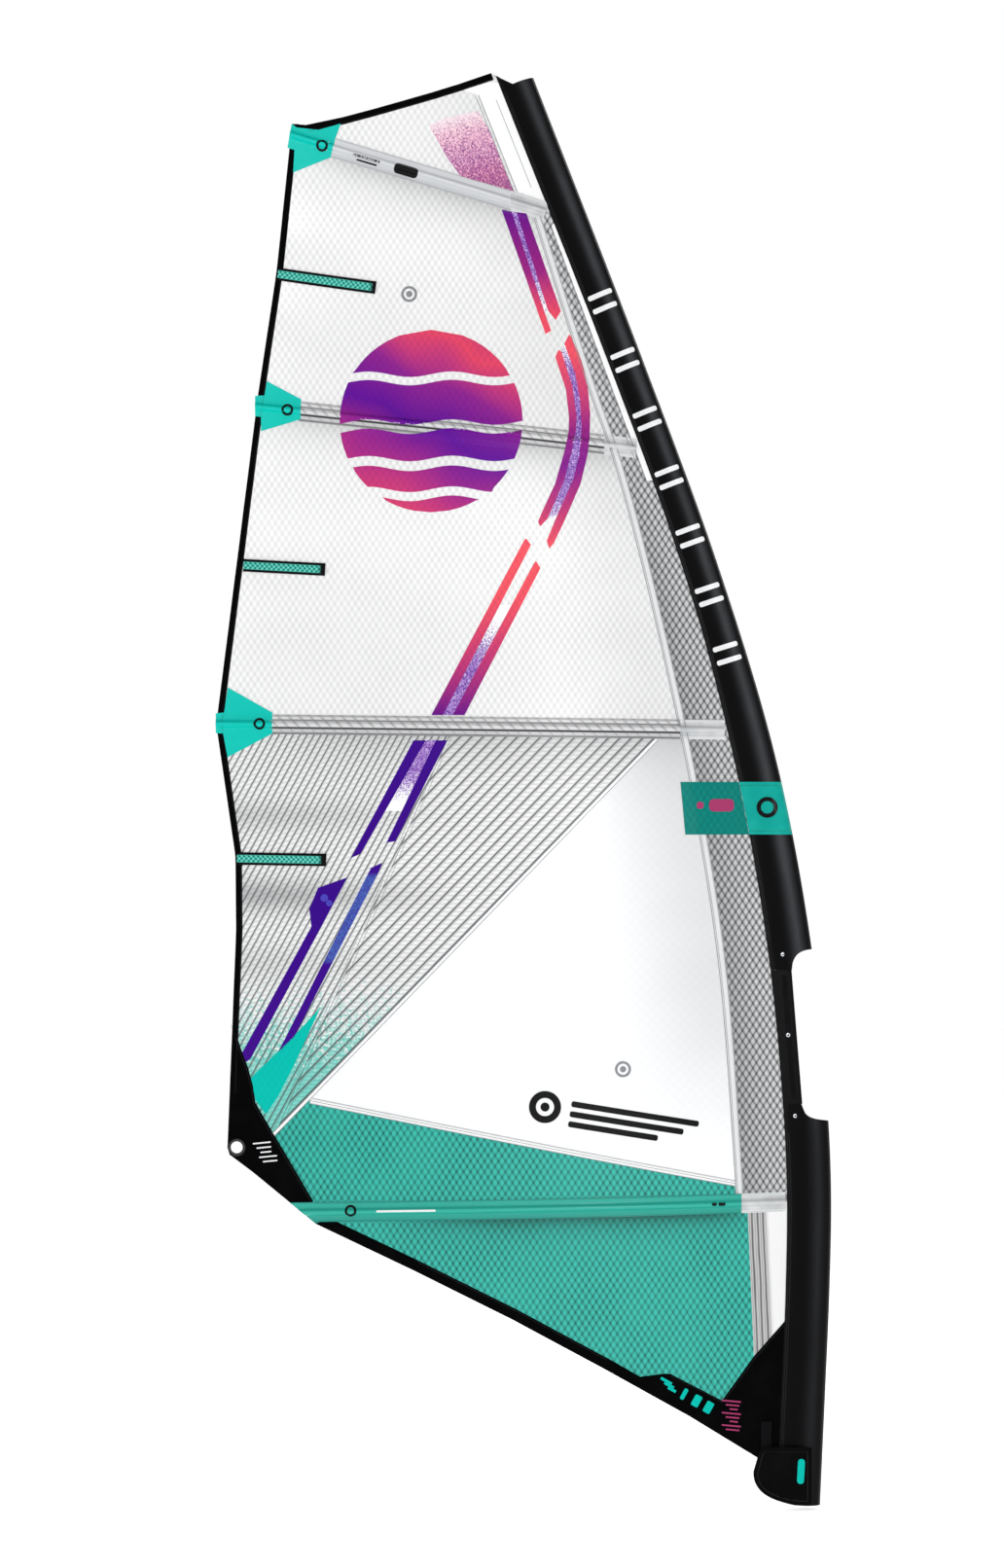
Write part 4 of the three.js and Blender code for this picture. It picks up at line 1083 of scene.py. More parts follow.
SLOTS = {"film": "film", "radial": "film", "window": "clear_film", "teal_film": "teal_film",
         "mesh": "mesh_film", "cords": "mesh_film"}
for name, (paint, shade, outline) in PANELS.items():
    lay(f"{name}_cloth", outline, PAINT[paint], fields={"shade": shade} if shade else None,
        slot=SLOTS[paint], stands_for=[name])

# ---------------------------------------------------------------- edge tapes and patches

LEECH_TAPE_FROM = 1.18
FOOT_TAPE_IN = (0.0142, 0.0285)


def circle(x, z, radius, count=40):
    return [(x + radius * math.cos(a), z + radius * math.sin(a)) for a in turns_of(count)]


def edge_cloth(name, outline, thickness, **given):
    lay(f"{name}_cloth", outline, PAINT["tape"], thickness=thickness, slot="edge_tape",
        stands_for=[name], **given)


leech_line = [p for p in LEECH if p[1] > LEECH_TAPE_FROM]
leech_line.append((float(leech_at(LEECH_TAPE_FROM)), LEECH_TAPE_FROM))
head_line = [HEAD_CORNER, *HEAD_HOLLOW, HEAD_TIP]
foot_line = along_foot(FOOT[1][0] - 0.010, TACK_EDGE[0][0])
foot_inner = [(x + FOOT_TAPE_IN[0], z + FOOT_TAPE_IN[1]) for x, z in foot_line if x < -0.5]
edge_cloth("leech_tape", [*leech_line, *[(x + LEECH_TAPE, z) for x, z in leech_line[::-1]]],
           TAPE_THICKNESS, strip=(leech_line, LEECH_TAPE))
edge_cloth("head_tape", ribbon(head_line, 0.0, HEAD_TAPE), TAPE_THICKNESS,
           strip=(head_line, HEAD_TAPE))
edge_cloth("foot_tape", [*foot_line, TACK_EDGE[0], (-0.415, 0.381), (-0.484, 0.3725),
                         *foot_inner[::-1]], TAPE_THICKNESS, strip=(foot_line, FOOT_TAPE))
edge_cloth("clew_patch", [*CLEW_EDGE, *along_foot(CLEW_FOOT_X, FOOT[0][0]), CLEW_TIP, CLEW_CORNER],
           PATCH_THICKNESS, holes=[circle(CLEW_EYE[0], CLEW_EYE[2], CLEW_HOLE, 48)])
edge_cloth("tack_patch", [*along_foot(TACK_EDGE[0][0], TACK[0]), *up_the_luff(TACK[1], 0.535),
                          *TACK_EDGE[::-1]], PATCH_THICKNESS)

# ---------------------------------------------------------------- the luff sleeve

HALF_RING = 35
RING = 2 * HALF_RING - 1
SLEEVE_STEP = 0.009
SEWN_BACK = [(0.0, 0.0022), (SLEEVE_SEAM, 0.0026)]
FOLD_DEPTH = 0.0007
# Where across the sleeve's width the painted highlight peaks, and how far it spreads.
HIGHLIGHT_AT = 0.70
HIGHLIGHT_WIDTH = 0.15


def sleeve_section(z):
    """The leeward half of the sleeve's section at a height, from its back edge to its front."""
    length, depth = MAST_ROOM
    width = float(sleeve_width(z))
    points = [*SEWN_BACK, *[(width - length + length * math.cos(a), depth * math.sin(a))
                            for a in np.radians(np.arange(105, -1, -15.0))]]
    run = run_along(points)
    at = np.linspace(0, run[-1], HALF_RING)
    along, side = (smooth(list(zip(run, column)))(at) for column in zip(*points))
    side[-1] = 0.0
    return along, side


def sleeve_ring(z):
    """Points round the sleeve at a height: the windward back edge, the front, the leeward back."""
    along, side = sleeve_section(z)
    x = float(sleeve_back(z)) + along
    fold = np.sin(90 * along + 11 * z) * np.sin(np.pi * np.linspace(0, 1, HALF_RING))
    side = side + FOLD_DEPTH * fold * (1 + 0.6 * math.sin(17 * z))
    return np.concatenate([np.stack([x, side], 1), np.stack([x, -side], 1)[::-1][1:]])


def leeward_side(x, z):
    """The Y of the sleeve's leeward side at x at a height."""
    half = sleeve_ring(z)[HALF_RING - 1:][::-1]
    return np.interp(x, half[:, 0], half[:, 1])


def sleeve_face(points):
    return np.array([leeward_side(x, z) for x, z in points])


def edge_heights(edge, guess):
    """Where each column of the sleeve meets an edge, a height or z = rule(x)."""
    heights = np.full(RING, float(guess))
    if callable(edge):
        for column in range(RING):
            for _ in range(12):
                heights[column] = edge(sleeve_ring(heights[column])[column, 0])
    return heights


def painted_highlight(points):
    """The painted highlight: 1 in a band across the sleeve's width, weaker below the boom."""
    x, z = points[..., 0], points[..., 2]
    share = (x - sleeve_back(z)) / sleeve_width(z)
    highlight_band = np.exp(-((share - HIGHLIGHT_AT) / HIGHLIGHT_WIDTH) ** 2)
    return highlight_band * (0.30 + 0.70 * eased(z, 1.0, 1.7))


def sleeve_piece(name, low, high, paint, slot, stands_for):
    """A length of sleeve between two (edge, guessed height) ends."""
    lows, highs = edge_heights(*low), edge_heights(*high)
    bottom, top = lows.min(), highs.max()
    rows = max(3, int((top - bottom) / SLEEVE_STEP) + 1)
    heights = np.linspace(bottom - 0.001, top + 0.001, rows * 2)
    rings = np.array([sleeve_ring(z) for z in heights])
    z = lows + np.linspace(0, 1, rows)[:, None] * (highs - lows)
    outer = np.stack([*[np.stack([np.interp(z[:, k], heights, rings[:, k, axis])
                                  for k in range(RING)], 1) for axis in (0, 1)], z], -1)
    normal = unit(np.cross(np.gradient(outer, axis=0), np.gradient(outer, axis=1)))
    inner = outer + normal * SLEEVE_WALL
    wrong = abs(inner[:, :, 1]) > abs(outer[:, :, 1])
    inner[wrong] = outer[wrong] - normal[wrong] * SLEEVE_WALL
    walls = np.concatenate([outer[:, ::-1], inner], axis=1)
    verts, faces = lofted(walls, caps=False)
    last = (rows - 1) * 2 * RING
    for k in range(RING - 1):
        near, far = (k, k + 1), (2 * RING - 2 - k, 2 * RING - 1 - k)
        faces.append((near[1], near[0], far[1], far[0]))
        faces.append((last + near[0], last + near[1], last + far[0], last + far[1]))
    piece = make_object(name, (verts, faces), paint, slot=slot, stands_for=stands_for)
    # Stores the painted highlight for the sleeve's paint to read.
    set_attribute(piece, "painted_highlight", painted_highlight(np.concatenate([outer[:, ::-1], outer], axis=1)).ravel())
    around = float(run_along(sleeve_ring((bottom + top) / 2))[-1])
    area = float((highs - lows).mean()) * around
    top - bottom
    min(area, around * (top - bottom))


def curve_rule(*corners):
    """z as a function of x along a quadratic curve through start, bend and end."""
    x, z = bend(*np.array(corners)).T
    return lambda at: np.interp(at, x, z)


foot_mouth = curve_rule((-0.200, 0.060), (-0.090, 0.004), (-0.036, 0.0))
lip_low = CUTOUT["bottom"] - CUTOUT["lip"]
boom_low = curve_rule((CUTOUT["bottom_x"], CUTOUT["bottom"]), (CUTOUT["bottom_x"], lip_low),
                      (CUTOUT["bottom_x"] + CUTOUT["lip_run"], lip_low))
lip_high = CUTOUT["top"] + CUTOUT["radius"]
boom_high = curve_rule((CUTOUT["top_x"], CUTOUT["top"]), (CUTOUT["top_x"], lip_high),
                       (CUTOUT["top_x"] + CUTOUT["radius"], lip_high))
head_notch = straight([(-0.912, 4.114), (-0.850, 4.081), (-0.788, 4.101), (-0.700, 4.108)])
band_low, band_high = ((None, z) for z in BAND)
sleeve_piece("sleeve_lower_cloth", (foot_mouth, 0.0), (boom_low, 1.12), PAINT["sleeve"],
             "sleeve_cloth", ["sleeve_lower"])
sleeve_piece("sleeve_above_boom_cloth", (boom_high, 1.57), band_low, PAINT["sleeve"],
             "sleeve_cloth", ["sleeve_above_boom"])
sleeve_piece("sleeve_band_cloth", band_low, band_high, PAINT["teal_cloth"], "teal_band",
             ["sleeve_band"])
sleeve_piece("sleeve_upper_cloth", band_high, (head_notch, 4.09), PAINT["sleeve"],
             "sleeve_cloth", [*[f"sleeve_{k}" for k in range(1, 5)], "sleeve_head"])

# ---------------------------------------------------------------- battens and their pockets

COVER_ROOM = 0.0010
COVER_SPREAD = 0.0055
COVER_CROWN = 0.42
POCKET_SEAM = 0.0245
COVER_ROWS = np.array([0, 2.4, 4.4, 6.2, 8.0, 9.8, 11.6, 14.0, 18.0, 23.0, 34.0, 50.0, 70.0]) / 1000
BOTTOM_POCKET_END = [(-1.4140, 0.8095), -1.404, (-1.4895, 0.8688)]


class Batten:
    """Places on a batten: s runs from its leech end, t up the sail, and off to leeward."""

    def __init__(self, name, leech, luff, rod, cover, clear_from, guard=None):
        self.name, self.rod, self.clear_from, self.guard = name, rod, clear_from, guard
        self.start = np.array(leech)
        run = np.array(luff) - self.start
        self.length = float(np.linalg.norm(run))
        self.along = run / self.length
        self.up = np.array([-self.along[1], self.along[0]])
        self.cover = self.s_at(cover)

    def plan(self, s, t=0.0):
        return self.start + np.multiply.outer(s, self.along) + np.multiply.outer(t, self.up)

    def place(self, s):
        x, z = self.plan(s)
        return np.array([x, float(cloth_y(x, z)) - BATTEN_OFF, z])

    def s_of(self, points):
        return (points - self.start) @ self.along

    def t_of(self, points):
        return (points - self.start) @ self.up

    def s_at(self, x):
        return float((x - self.start[0]) / self.along[0])

    def arch(self, points, inner):
        """The height of a cover over the cloth: flat flanges and an arch over a round body."""
        rise = BATTEN_OFF + inner + COVER_ROOM - COVER_BASE
        return COVER_BASE + rise * eased(np.abs(self.t_of(points)), inner + COVER_SPREAD,
                                         COVER_CROWN * inner)

    def grid(self, start, end, half_width, step=0.013):
        """Rows of points along the batten, close together where its cover is arched."""
        rows = COVER_ROWS[COVER_ROWS < half_width]
        t = np.concatenate([-rows[:0:-1], rows])
        s = np.arange(start, end, step)
        return self.start + s[:, None, None] * self.along + t[None, :, None] * self.up

    def cover_height(self, points):
        """The height of whatever covers the batten at each point, and 0 away from it."""
        s, t = self.s_of(points), np.abs(self.t_of(points))
        covered = (s > self.cover - 0.001) & (s < self.length + 0.001)
        flange = eased(t, POCKET_WIDTH / 2 + 0.012, POCKET_WIDTH / 2 + 0.002)
        pocket = self.arch(points, self.rod + TIP_WALL) + POCKET_SKIN / 2
        height = np.where(covered, flange * pocket, 0.0)
        if self.guard:
            under = inside(np.array(self.guard), points)
            height = np.where(under, self.arch(points, PLUG_ROOM) + GUARD_SKIN / 2, height)
        return height


battens = [Batten(name, **data) for name, data in BATTENS.items()]


def leeward_skin(points, base=FILM_THICKNESS / 2):
    """How far the outermost leeward surface stands off the middle of the cloth."""
    return np.max([np.full(len(points), base), *[b.cover_height(points) for b in battens]], axis=0)


POCKET_LOOKS = {
    "bottom": {"base": (46, 178, 160), "dark": (8, 104, 96), "bars": False},
    "lower": {},
    "upper": {},
    "top": {"base": (214, 216, 219), "dark": (150, 152, 156), "bars": False},
}
half = POCKET_WIDTH / 2
for batten in battens:
    name = batten.name
    corners = [(batten.cover, -half), (batten.length, -half), (batten.length, half),
               (batten.cover, half)]
    outline = [tuple(batten.plan(s, t)) for s, t in corners]
    if name == "bottom":
        low_end, bend_at, high_end = BOTTOM_POCKET_END
        outline = [low_end, tuple(batten.plan(batten.s_at(bend_at), -half)), *outline[1:3],
                   high_end]
    lay(f"{name}_pocket_film", outline,
        pocket_paint(name, batten.clear_from, **POCKET_LOOKS[name]),
        thickness=POCKET_SKIN, step=0.008,
        extra=batten.grid(batten.cover - 0.02, batten.length, half),
        relief=lambda points: batten.arch(points, batten.rod + TIP_WALL),
        fields={"across": batten.t_of, "along": batten.s_of},
        slot="teal_film" if name == "bottom" else "pocket_film",
        stands_for=[f"{name}_batten_pocket"])
    if batten.guard:
        lay(f"{name}_guard_cover", batten.guard, PAINT["teal_plastic"], thickness=GUARD_SKIN,
            step=0.006, extra=batten.grid(-0.03, GUARD_REACH, 0.09, 0.007),
            relief=lambda points: batten.arch(points, PLUG_ROOM), slot="guard",
            stands_for=[f"{name}_leech_guard"])

# ---------------------------------------------------------------- mini battens

MINI_CAP = 0.0150
MINI_THICKNESS = 0.0022
MINI_OFF = 0.0016
MINI_CROWN = 0.0030


def mini_batten(name, start, end):
    """A short batten in its sleeve: a crowned strip with a black cap at its luff end."""
    start, end = np.array(start), np.array(end)
    length = float(np.linalg.norm(end - start))
    along = (end - start) / length
    up = np.array([-along[1], along[0]])
    half = MINI_WIDTH / 2
    rows = np.arange(-15, 16, 3) / 1000

    def crown(points):
        return COVER_ROOM + MINI_CROWN * eased(np.abs((points - start) @ up), half - 0.001,
                                               0.35 * half)

    lay(f"mini_{name}_cloth", [tuple(p) for p in (start - half * up, end - half * up,
                                                  end + half * up, start + half * up)],
        PAINT["mini"], thickness=MINI_THICKNESS, offset=MINI_OFF, step=0.008, relief=crown,
        extra=(start + np.arange(0.004, length, 0.010)[:, None, None] * along
               + rows[None, :, None] * up),
        fields={"across": lambda p: (p - start) @ up, "along": lambda p: (p - start) @ along,
                "cap": lambda p: (p - start) @ along > length - MINI_CAP},
        slot="mini_batten", stands_for=[f"mini_batten_{name}"], strip=([start, end], MINI_WIDTH))


for name, (start, end) in MINI_BATTENS.items():
    mini_batten(name, start, end)

# ---------------------------------------------------------------- seams and strips

mesh_line = [(float(mesh_at(z)), float(z)) for z in np.linspace(0.895, 3.700, 71)]
window_line = on_seam(WINDOW_SEAM, -1.430, window_fore[0] - 0.012)
radial_line = [tuple(p) for p in np.linspace(*RADIAL_SEAM, 40)[:-1]]
for name, line, left, right, paint in (("mesh", mesh_line, 0.014, 0.009, "grey_strip"),
                                       ("window", window_line, 0.0085, 0.0085, "white_strip"),
                                       ("radial", radial_line, 0.0085, 0.0030, "white_strip")):
    lay(f"{name}_seam_strip", ribbon(line, left, right), PAINT[paint], strip=(line, left + right),
        thickness=STRIP_THICKNESS, step=0.012, slot="film")

HEAD_STRIP = [(-0.947, 4.050), (-0.836, 3.773)]


WHITE_STRIPS = {
    "head_luff_strip": [*HEAD_STRIP, *up_the_luff(3.742, 4.085)],
    "upper_luff_strip": [(-0.464, 2.943), (-0.738, 3.675), *up_the_luff(3.690, 2.943)],
    "head_corner_patch": [(-0.992, 4.064), HEAD_STRIP[0], (-0.918, 3.985),
                          *up_the_luff(3.985, 4.085), (-0.911, 4.088)],
}
for name, outline in WHITE_STRIPS.items():
    lay(name, outline, PAINT["white_strip"], slot="film",
        thickness=0.0020 if name == "head_corner_patch" else STRIP_THICKNESS)
band_fore = [(float(sleeve_back(z)) - 0.001, z) for z in BAND[::-1]]
lay("luff_band_cloth", [(-0.369, BAND[1]), *band_fore, (-0.355, BAND[0])], PAINT["clear_teal"],
    offset=0.0015, slot="teal_band", stands_for=["luff_band"])

ZIG = 0.0038
ZIG_REACH = 0.0012
THREAD = 0.00035


def zigzag(line, side, lift):
    """A zigzag stitch along a line on one side of the cloth: side is -1 to leeward, 1 behind."""
    run = run_along(line)
    at = np.arange(0, run[-1], ZIG)
    middle = np.stack([np.interp(at, run, column) for column in np.array(line, float).T], 1)
    swing = ZIG_REACH * (1 - 2 * (np.arange(len(at)) % 2))[:, None]
    points = middle + swing * leftward(heading(middle))
    stand = leeward_skin(points, lift) if side < 0 else lift
    y = cloth_y(points[:, 0], points[:, 1]) + side * (stand + THREAD * 0.6)
    return tube(np.stack([points[:, 0], y, points[:, 1]], 1), THREAD, 4)


def stitching(name, lines, paint, lift=STRIP_THICKNESS / 2):
    make_object(name, merged([zigzag(line, side, lift) for line in lines for side in (-1, 1)]),
                PAINT[paint])


def pocket_lines(batten):
    """The two seams of a pocket; the bottom one's start past the foot tape."""
    start = batten.cover + (0.08 if batten.name == "bottom" else 0.02)
    s = np.linspace(start, batten.length - 0.006, 40)
    return [batten.plan(s, np.full(40, t)) for t in (POCKET_SEAM, -POCKET_SEAM)]


stitching("pocket_stitches", [line for b in battens[1:] for line in pocket_lines(b)],
          "thread_grey")
stitching("bottom_pocket_stitches", pocket_lines(battens[0]), "thread_teal")
stitching("panel_stitches", [beside(mesh_line, 0.011), beside(mesh_line, -0.006),
                             beside(window_line, 0.0055), beside(window_line, -0.0055),
                             beside(radial_line, 0.0055)], "thread_grey")
stitching("tape_stitches", [
    [(x + LEECH_TAPE - 0.003, z) for x, z in leech_line[1:]],
    beside(head_line[1:], 0.003 - HEAD_TAPE),
    [(x + 0.012, z + 0.024) for x, z in foot_line if -1.38 < x < -0.5]],
    "thread_dark", TAPE_THICKNESS / 2)
stitching("patch_stitches", [[(x - 0.005, z - 0.004) for x, z in CLEW_EDGE],
                             [(x + 0.003, z - 0.006) for x, z in TACK_EDGE]],
          "thread_dark", PATCH_THICKNESS / 2)

# ---------------------------------------------------------------- prints

INK = 0.0007
INK_SUNK = 0.0004
INK_THROUGH = 0.0010
BATTEN_BAND = 0.0240


def ink_grid(outline, step):
    """Grid points for a print: rows along a batten that it crosses, and a plain grid elsewhere."""
    low, high = outline.min(0), outline.max(0)
    i, j = np.meshgrid(np.arange(low[0], high[0], step), np.arange(low[1], high[1], step))
    plain = np.stack([i, j], -1).reshape(-1, 2)
    rows = []
    for batten in battens:
        if abs(batten.t_of((low + high) / 2)) > np.linalg.norm(high - low):
            continue
        plain = plain[np.abs(batten.t_of(plain)) > BATTEN_BAND]
        reach = batten.s_of(outline)
        rows.append(batten.grid(reach.min(), reach.max(), BATTEN_BAND - 0.0005, 0.007)
                    .reshape(-1, 2))
    return np.concatenate([plain, *rows])


def printed(name, shapes, material, base=FILM_THICKNESS / 2, through=False, step=0.006,
            slot="film", surface=None, body="sail"):
    """Prints or labels on the leeward side, or inked right through to the other side."""
    parts = []
    for shape in shapes:
        outline, holes = shape if isinstance(shape, tuple) else (shape, ())
        if surface:
            points, triangles = triangulated(outline, step, None, holes)
            middle = face = surface(points)
        else:
            points, triangles = triangulated(outline, step, ink_grid(np.array(outline), step),
                                             holes)
            middle = cloth_y(points[:, 0], points[:, 1])
            face = middle - leeward_skin(points, base)
        back = middle + INK_THROUGH if through else face + INK_SUNK
        parts.append(thick_sheet(points, triangles, face - INK, back))
    make_object(name, merged(parts), material, body=body, slot=slot)


def ring(x, z, outer, inner):
    return circle(x, z, outer), [circle(x, z, inner, 28)]


def bar(x, z, length, height, angle=0.0, round_by=0.35):
    """A bar with rounded corners, centred at (x, z) and turned by an angle in degrees."""
    radius = round_by * height
    turn = math.radians(angle)
    points = []
    for cx, cz, start in ((1, 1, 0), (-1, 1, 90), (-1, -1, 180), (1, -1, 270)):
        for step in (0, 30, 60, 90):
            a = math.radians(start + step)
            px = cx * (length / 2 - radius) + radius * math.cos(a)
            pz = cz * (height / 2 - radius) + radius * math.sin(a)
            points.append((x + px * math.cos(turn) - pz * math.sin(turn),
                           z + px * math.sin(turn) + pz * math.cos(turn)))
    return points


STRIPES = [
    [(-0.881, 3.719), (-0.755, 3.362), (-0.739, 3.372), (-0.758, 3.425), (-0.852, 3.713)],
    [(-0.838, 3.712), (-0.748, 3.430), (-0.726, 3.403), (-0.711, 3.428), (-0.810, 3.709)],
    [(-0.727, 3.296), (-0.697, 3.203), (-0.688, 3.125), (-0.689, 3.082), (-0.701, 3.024),
     (-0.728, 2.931), (-0.767, 2.846), (-0.777, 2.822), (-0.771, 2.808), (-0.750, 2.830),
     (-0.701, 2.942), (-0.680, 3.024), (-0.668, 3.085), (-0.666, 3.125), (-0.678, 3.211),
     (-0.709, 3.311), (-0.718, 3.317)],
    [(-0.701, 3.335), (-0.670, 3.249), (-0.656, 3.172), (-0.652, 3.094), (-0.658, 3.016),
     (-0.675, 2.947), (-0.722, 2.840), (-0.752, 2.768), (-0.745, 2.745), (-0.732, 2.760),
     (-0.705, 2.816), (-0.655, 2.931), (-0.636, 3.009), (-0.629, 3.055), (-0.627, 3.133),
     (-0.634, 3.211), (-0.652, 3.288), (-0.680, 3.352), (-0.687, 3.362)],
    [(-0.816, 2.770), (-1.082, 2.268), (-1.049, 2.268), (-0.797, 2.756), (-0.811, 2.774)],
    [(-0.790, 2.700), (-1.021, 2.268), (-0.987, 2.268), (-0.770, 2.689), (-0.783, 2.710)],
]
LOW_STRIPES = [
    [(-1.133, 2.196), (-1.313, 1.859), (-1.285, 1.871), (-1.098, 2.196)],
    [(-1.069, 2.196), (-1.211, 1.903), (-1.185, 1.907), (-1.036, 2.196)],
    [(-1.324, 1.803), (-1.408, 1.773), (-1.433, 1.712), (-1.427, 1.662), (-1.638, 1.278),
     (-1.630, 1.264), (-1.603, 1.280), (-1.398, 1.662)],
]
BLUE_STRIPE = [(-1.223, 1.846), (-1.256, 1.830), (-1.521, 1.304), (-1.543, 1.279),
               (-1.476, 1.345), (-1.232, 1.821)]
GLITTER = [
    [(-0.852, 3.713), (-0.838, 3.712), (-0.748, 3.430), (-0.758, 3.425)],
    [(-0.709, 3.311), (-0.701, 3.335), (-0.670, 3.249), (-0.656, 3.172), (-0.652, 3.094),
     (-0.658, 3.016), (-0.675, 2.947), (-0.722, 2.840), (-0.750, 2.830), (-0.701, 2.942),
     (-0.680, 3.024), (-0.668, 3.085), (-0.666, 3.125), (-0.678, 3.211)],
    [(-0.886, 2.583), (-1.049, 2.268), (-1.021, 2.268), (-0.853, 2.583)],
    [(-1.098, 2.196), (-1.214, 1.994), (-1.167, 1.994), (-1.069, 2.196)],
]
GLITTER_BANDS = [(3.34, 3.74, "low"), (2.72, 3.42, "ends"), (2.26, 2.585, "high"),
                 (1.99, 2.21, "low")]
PINK_PATCH = [(-1.090, 3.960), (-1.034, 3.862), (-0.998, 3.814), (-0.847, 3.773),
              (-0.914, 3.944), (-0.950, 4.004), (-1.050, 3.980)]
TEAL_WEDGE = [(-1.400, 1.430), (-1.486, 1.339), (-1.602, 1.226), (-1.588, 1.163),
              (-1.558, 1.122), (-1.523, 1.174), (-1.478, 1.262)]
STRIPES_FROM, STRIPES_RISE = 1.25, 2.5
STRIPE_STOPS = [(0.0, rgb(72, 12, 150)), (0.384, rgb(62, 8, 148)), (0.410, rgb(112, 24, 132)),
                (0.48, rgb(200, 60, 112)), (0.54, rgb(240, 84, 98)), (0.60, rgb(244, 88, 98)),
                (0.64, rgb(196, 62, 114)), (0.70, rgb(132, 34, 140)), (0.74, rgb(150, 40, 130)),
                (0.82, rgb(240, 86, 102)), (0.868, rgb(235, 78, 100)), (0.92, rgb(152, 36, 124)),
                (0.985, rgb(98, 16, 134))]
LOW_STOPS = [(0.0, rgb(64, 4, 138)), (0.5, rgb(54, 2, 134)), (1.0, rgb(60, 6, 134))]
BLUE_STOPS = [(0.0, rgb(60, 6, 138)), (0.5, rgb(58, 4, 138)), (1.0, rgb(56, 6, 138))]
DISC_STOPS = [(0.0, rgb(232, 74, 96)), (0.24, rgb(178, 48, 128)), (0.46, rgb(96, 14, 150)),
              (0.66, rgb(140, 34, 140)), (0.84, rgb(226, 70, 100)), (1.0, rgb(190, 56, 118))]
DISC_FADE = 0.36
DISC_WAVE = 0.008
DISC_BANDS = [(-0.262, -0.222), (-0.196, -0.136), (-0.108, -0.030), (-0.004, 0.110),
              (0.134, 0.262)]


def disc_band(low, high):
    """The part of the disc between two heights, its straight sides rising in a slow wave."""
    x, z, radius = DISC

    def edge(height):
        reach = math.sqrt(radius ** 2 - height ** 2)
        xs = np.linspace(-reach, reach, 25)
        return [(x + a, z + height + DISC_WAVE * math.sin(a * 26)) for a in xs.tolist()]

    sides = np.linspace(high, low, 9)[1:-1].tolist()
    left = [(x - math.sqrt(radius ** 2 - h ** 2), z + h) for h in sides]
    right = [(2 * x - rim, height) for rim, height in left[::-1]]
    bottom = edge(low) if low > -radius else [(x, z - radius)]
    top = edge(high) if high < radius else [(x, z + radius)]
    return [*bottom, *right, *top[::-1], *left]


stripe_ink = ink_paint("stripe_ink", STRIPE_STOPS, STRIPES_FROM, STRIPES_FROM + STRIPES_RISE)
low_ink = ink_paint("indigo_ink", LOW_STOPS, STRIPES_FROM, 2.25)
blue_ink = ink_paint("blue_ink", BLUE_STOPS, STRIPES_FROM, 1.90, speckle=rgb(74, 110, 188),
                     speckle_at=(1.57, 1.80))
disc_ink = ink_paint("disc_ink", DISC_STOPS, DISC[1] - DISC_FADE, DISC[1] + DISC_FADE, lean=0.45,
                     drift=0.18)
printed("stripe_print", STRIPES, stripe_ink, through=True)
printed("indigo_stripe_print", LOW_STRIPES, low_ink, through=True)
printed("blue_stripe_print", [BLUE_STRIPE], blue_ink, through=True)
printed("sun_disc_print", [disc_band(*band) for band in DISC_BANDS], disc_ink, through=True,
        step=0.0055)
printed("glitter_print", GLITTER, glitter_paint("violet_glitter", 300.0, GLITTER_BANDS),
        through=True)
printed("pink_patch_print", [PINK_PATCH], halftone_paint(), through=True)
printed("teal_wedge_print", [TEAL_WEDGE], PAINT["teal_ink"], through=True)
printed("flag_speckle_print", [circle(-1.390, 1.744, 0.011, 18), circle(-1.376, 1.729, 0.009, 18)],
        PAINT["blue_speck"], base=0.0010)

SEAM_LINES = ((mesh_line, ((0.0128, -0.0112), (0.0078, -0.0066), (-0.0070, 0.0084))),
              (window_line, ((0.0085, -0.0072), (-0.0072, 0.0085), (0.0008, 0.0006))),
              (radial_line, ((0.0085, -0.0068), (-0.0012, 0.0030))),
              (np.linspace(*HEAD_STRIP, 12), ((0.0002, 0.0016), (-0.0090, 0.0104))),
              (np.linspace((-0.739, 3.672), (-0.466, 2.946), 24),
               ((-0.0002, 0.0018), (-0.0100, 0.0114))),
              (np.linspace(*HEAD_STRIP, 12)[1:] + (0.040, 0.012), ((0.0007, 0.0007),)))
seam_lines = [ribbon(line, *sides) for line, ribbons in SEAM_LINES for sides in ribbons]
printed("seam_lines", seam_lines, PAINT["grey_ink"], base=STRIP_THICKNESS / 2, step=0.012)

FOOT_ANGLE = -29.0
white_lines = [bar(-1.570 + 0.006 * k, 1.040 - 0.013 * k, 0.052 - 0.010 * (k % 3), 0.0040, 6)
               for k in range(5)]
teal_bars = [bar(-0.4090 + 0.008 * k, 0.3600 - 0.0125 * k, 0.036 - 0.005 * k, 0.0080,
                 FOOT_ANGLE, 0.2) for k in range(3)]
teal_bars += [bar(x, z, width, 0.034, FOOT_ANGLE, 0.12)
              for x, z, width in ((-0.358, 0.322, 0.012), (-0.322, 0.302, 0.022),
                                  (-0.288, 0.283, 0.022))]
pink_dashes = [bar(-0.222 + 0.0035 * (k % 3), 0.300 - 0.0118 * k, 0.056 - 0.016 * (k % 3), 0.0044,
                   -6) for k in range(8)]
for name, marks, ink in (("white_clew_label", white_lines, "white_ink"),
                         ("teal_foot_label", teal_bars, "teal_ink"),
                         ("pink_tack_label", pink_dashes, "pink_ink")):
    printed(name, marks, PAINT[ink], base=PATCH_THICKNESS / 2, slot="edge_tape")

BADGE = (-0.757, 1.147)
BADGE_ANGLE = -9.2
HEAD_ANGLE = -16.3


def badge_bar(dx, dz, length):
    """A bar of the window's label, placed from its round badge."""
    turn = math.radians(BADGE_ANGLE)
    return bar(BADGE[0] + dx * math.cos(turn) - dz * math.sin(turn),
               BADGE[1] + dx * math.sin(turn) + dz * math.cos(turn), length, 0.017, BADGE_ANGLE)


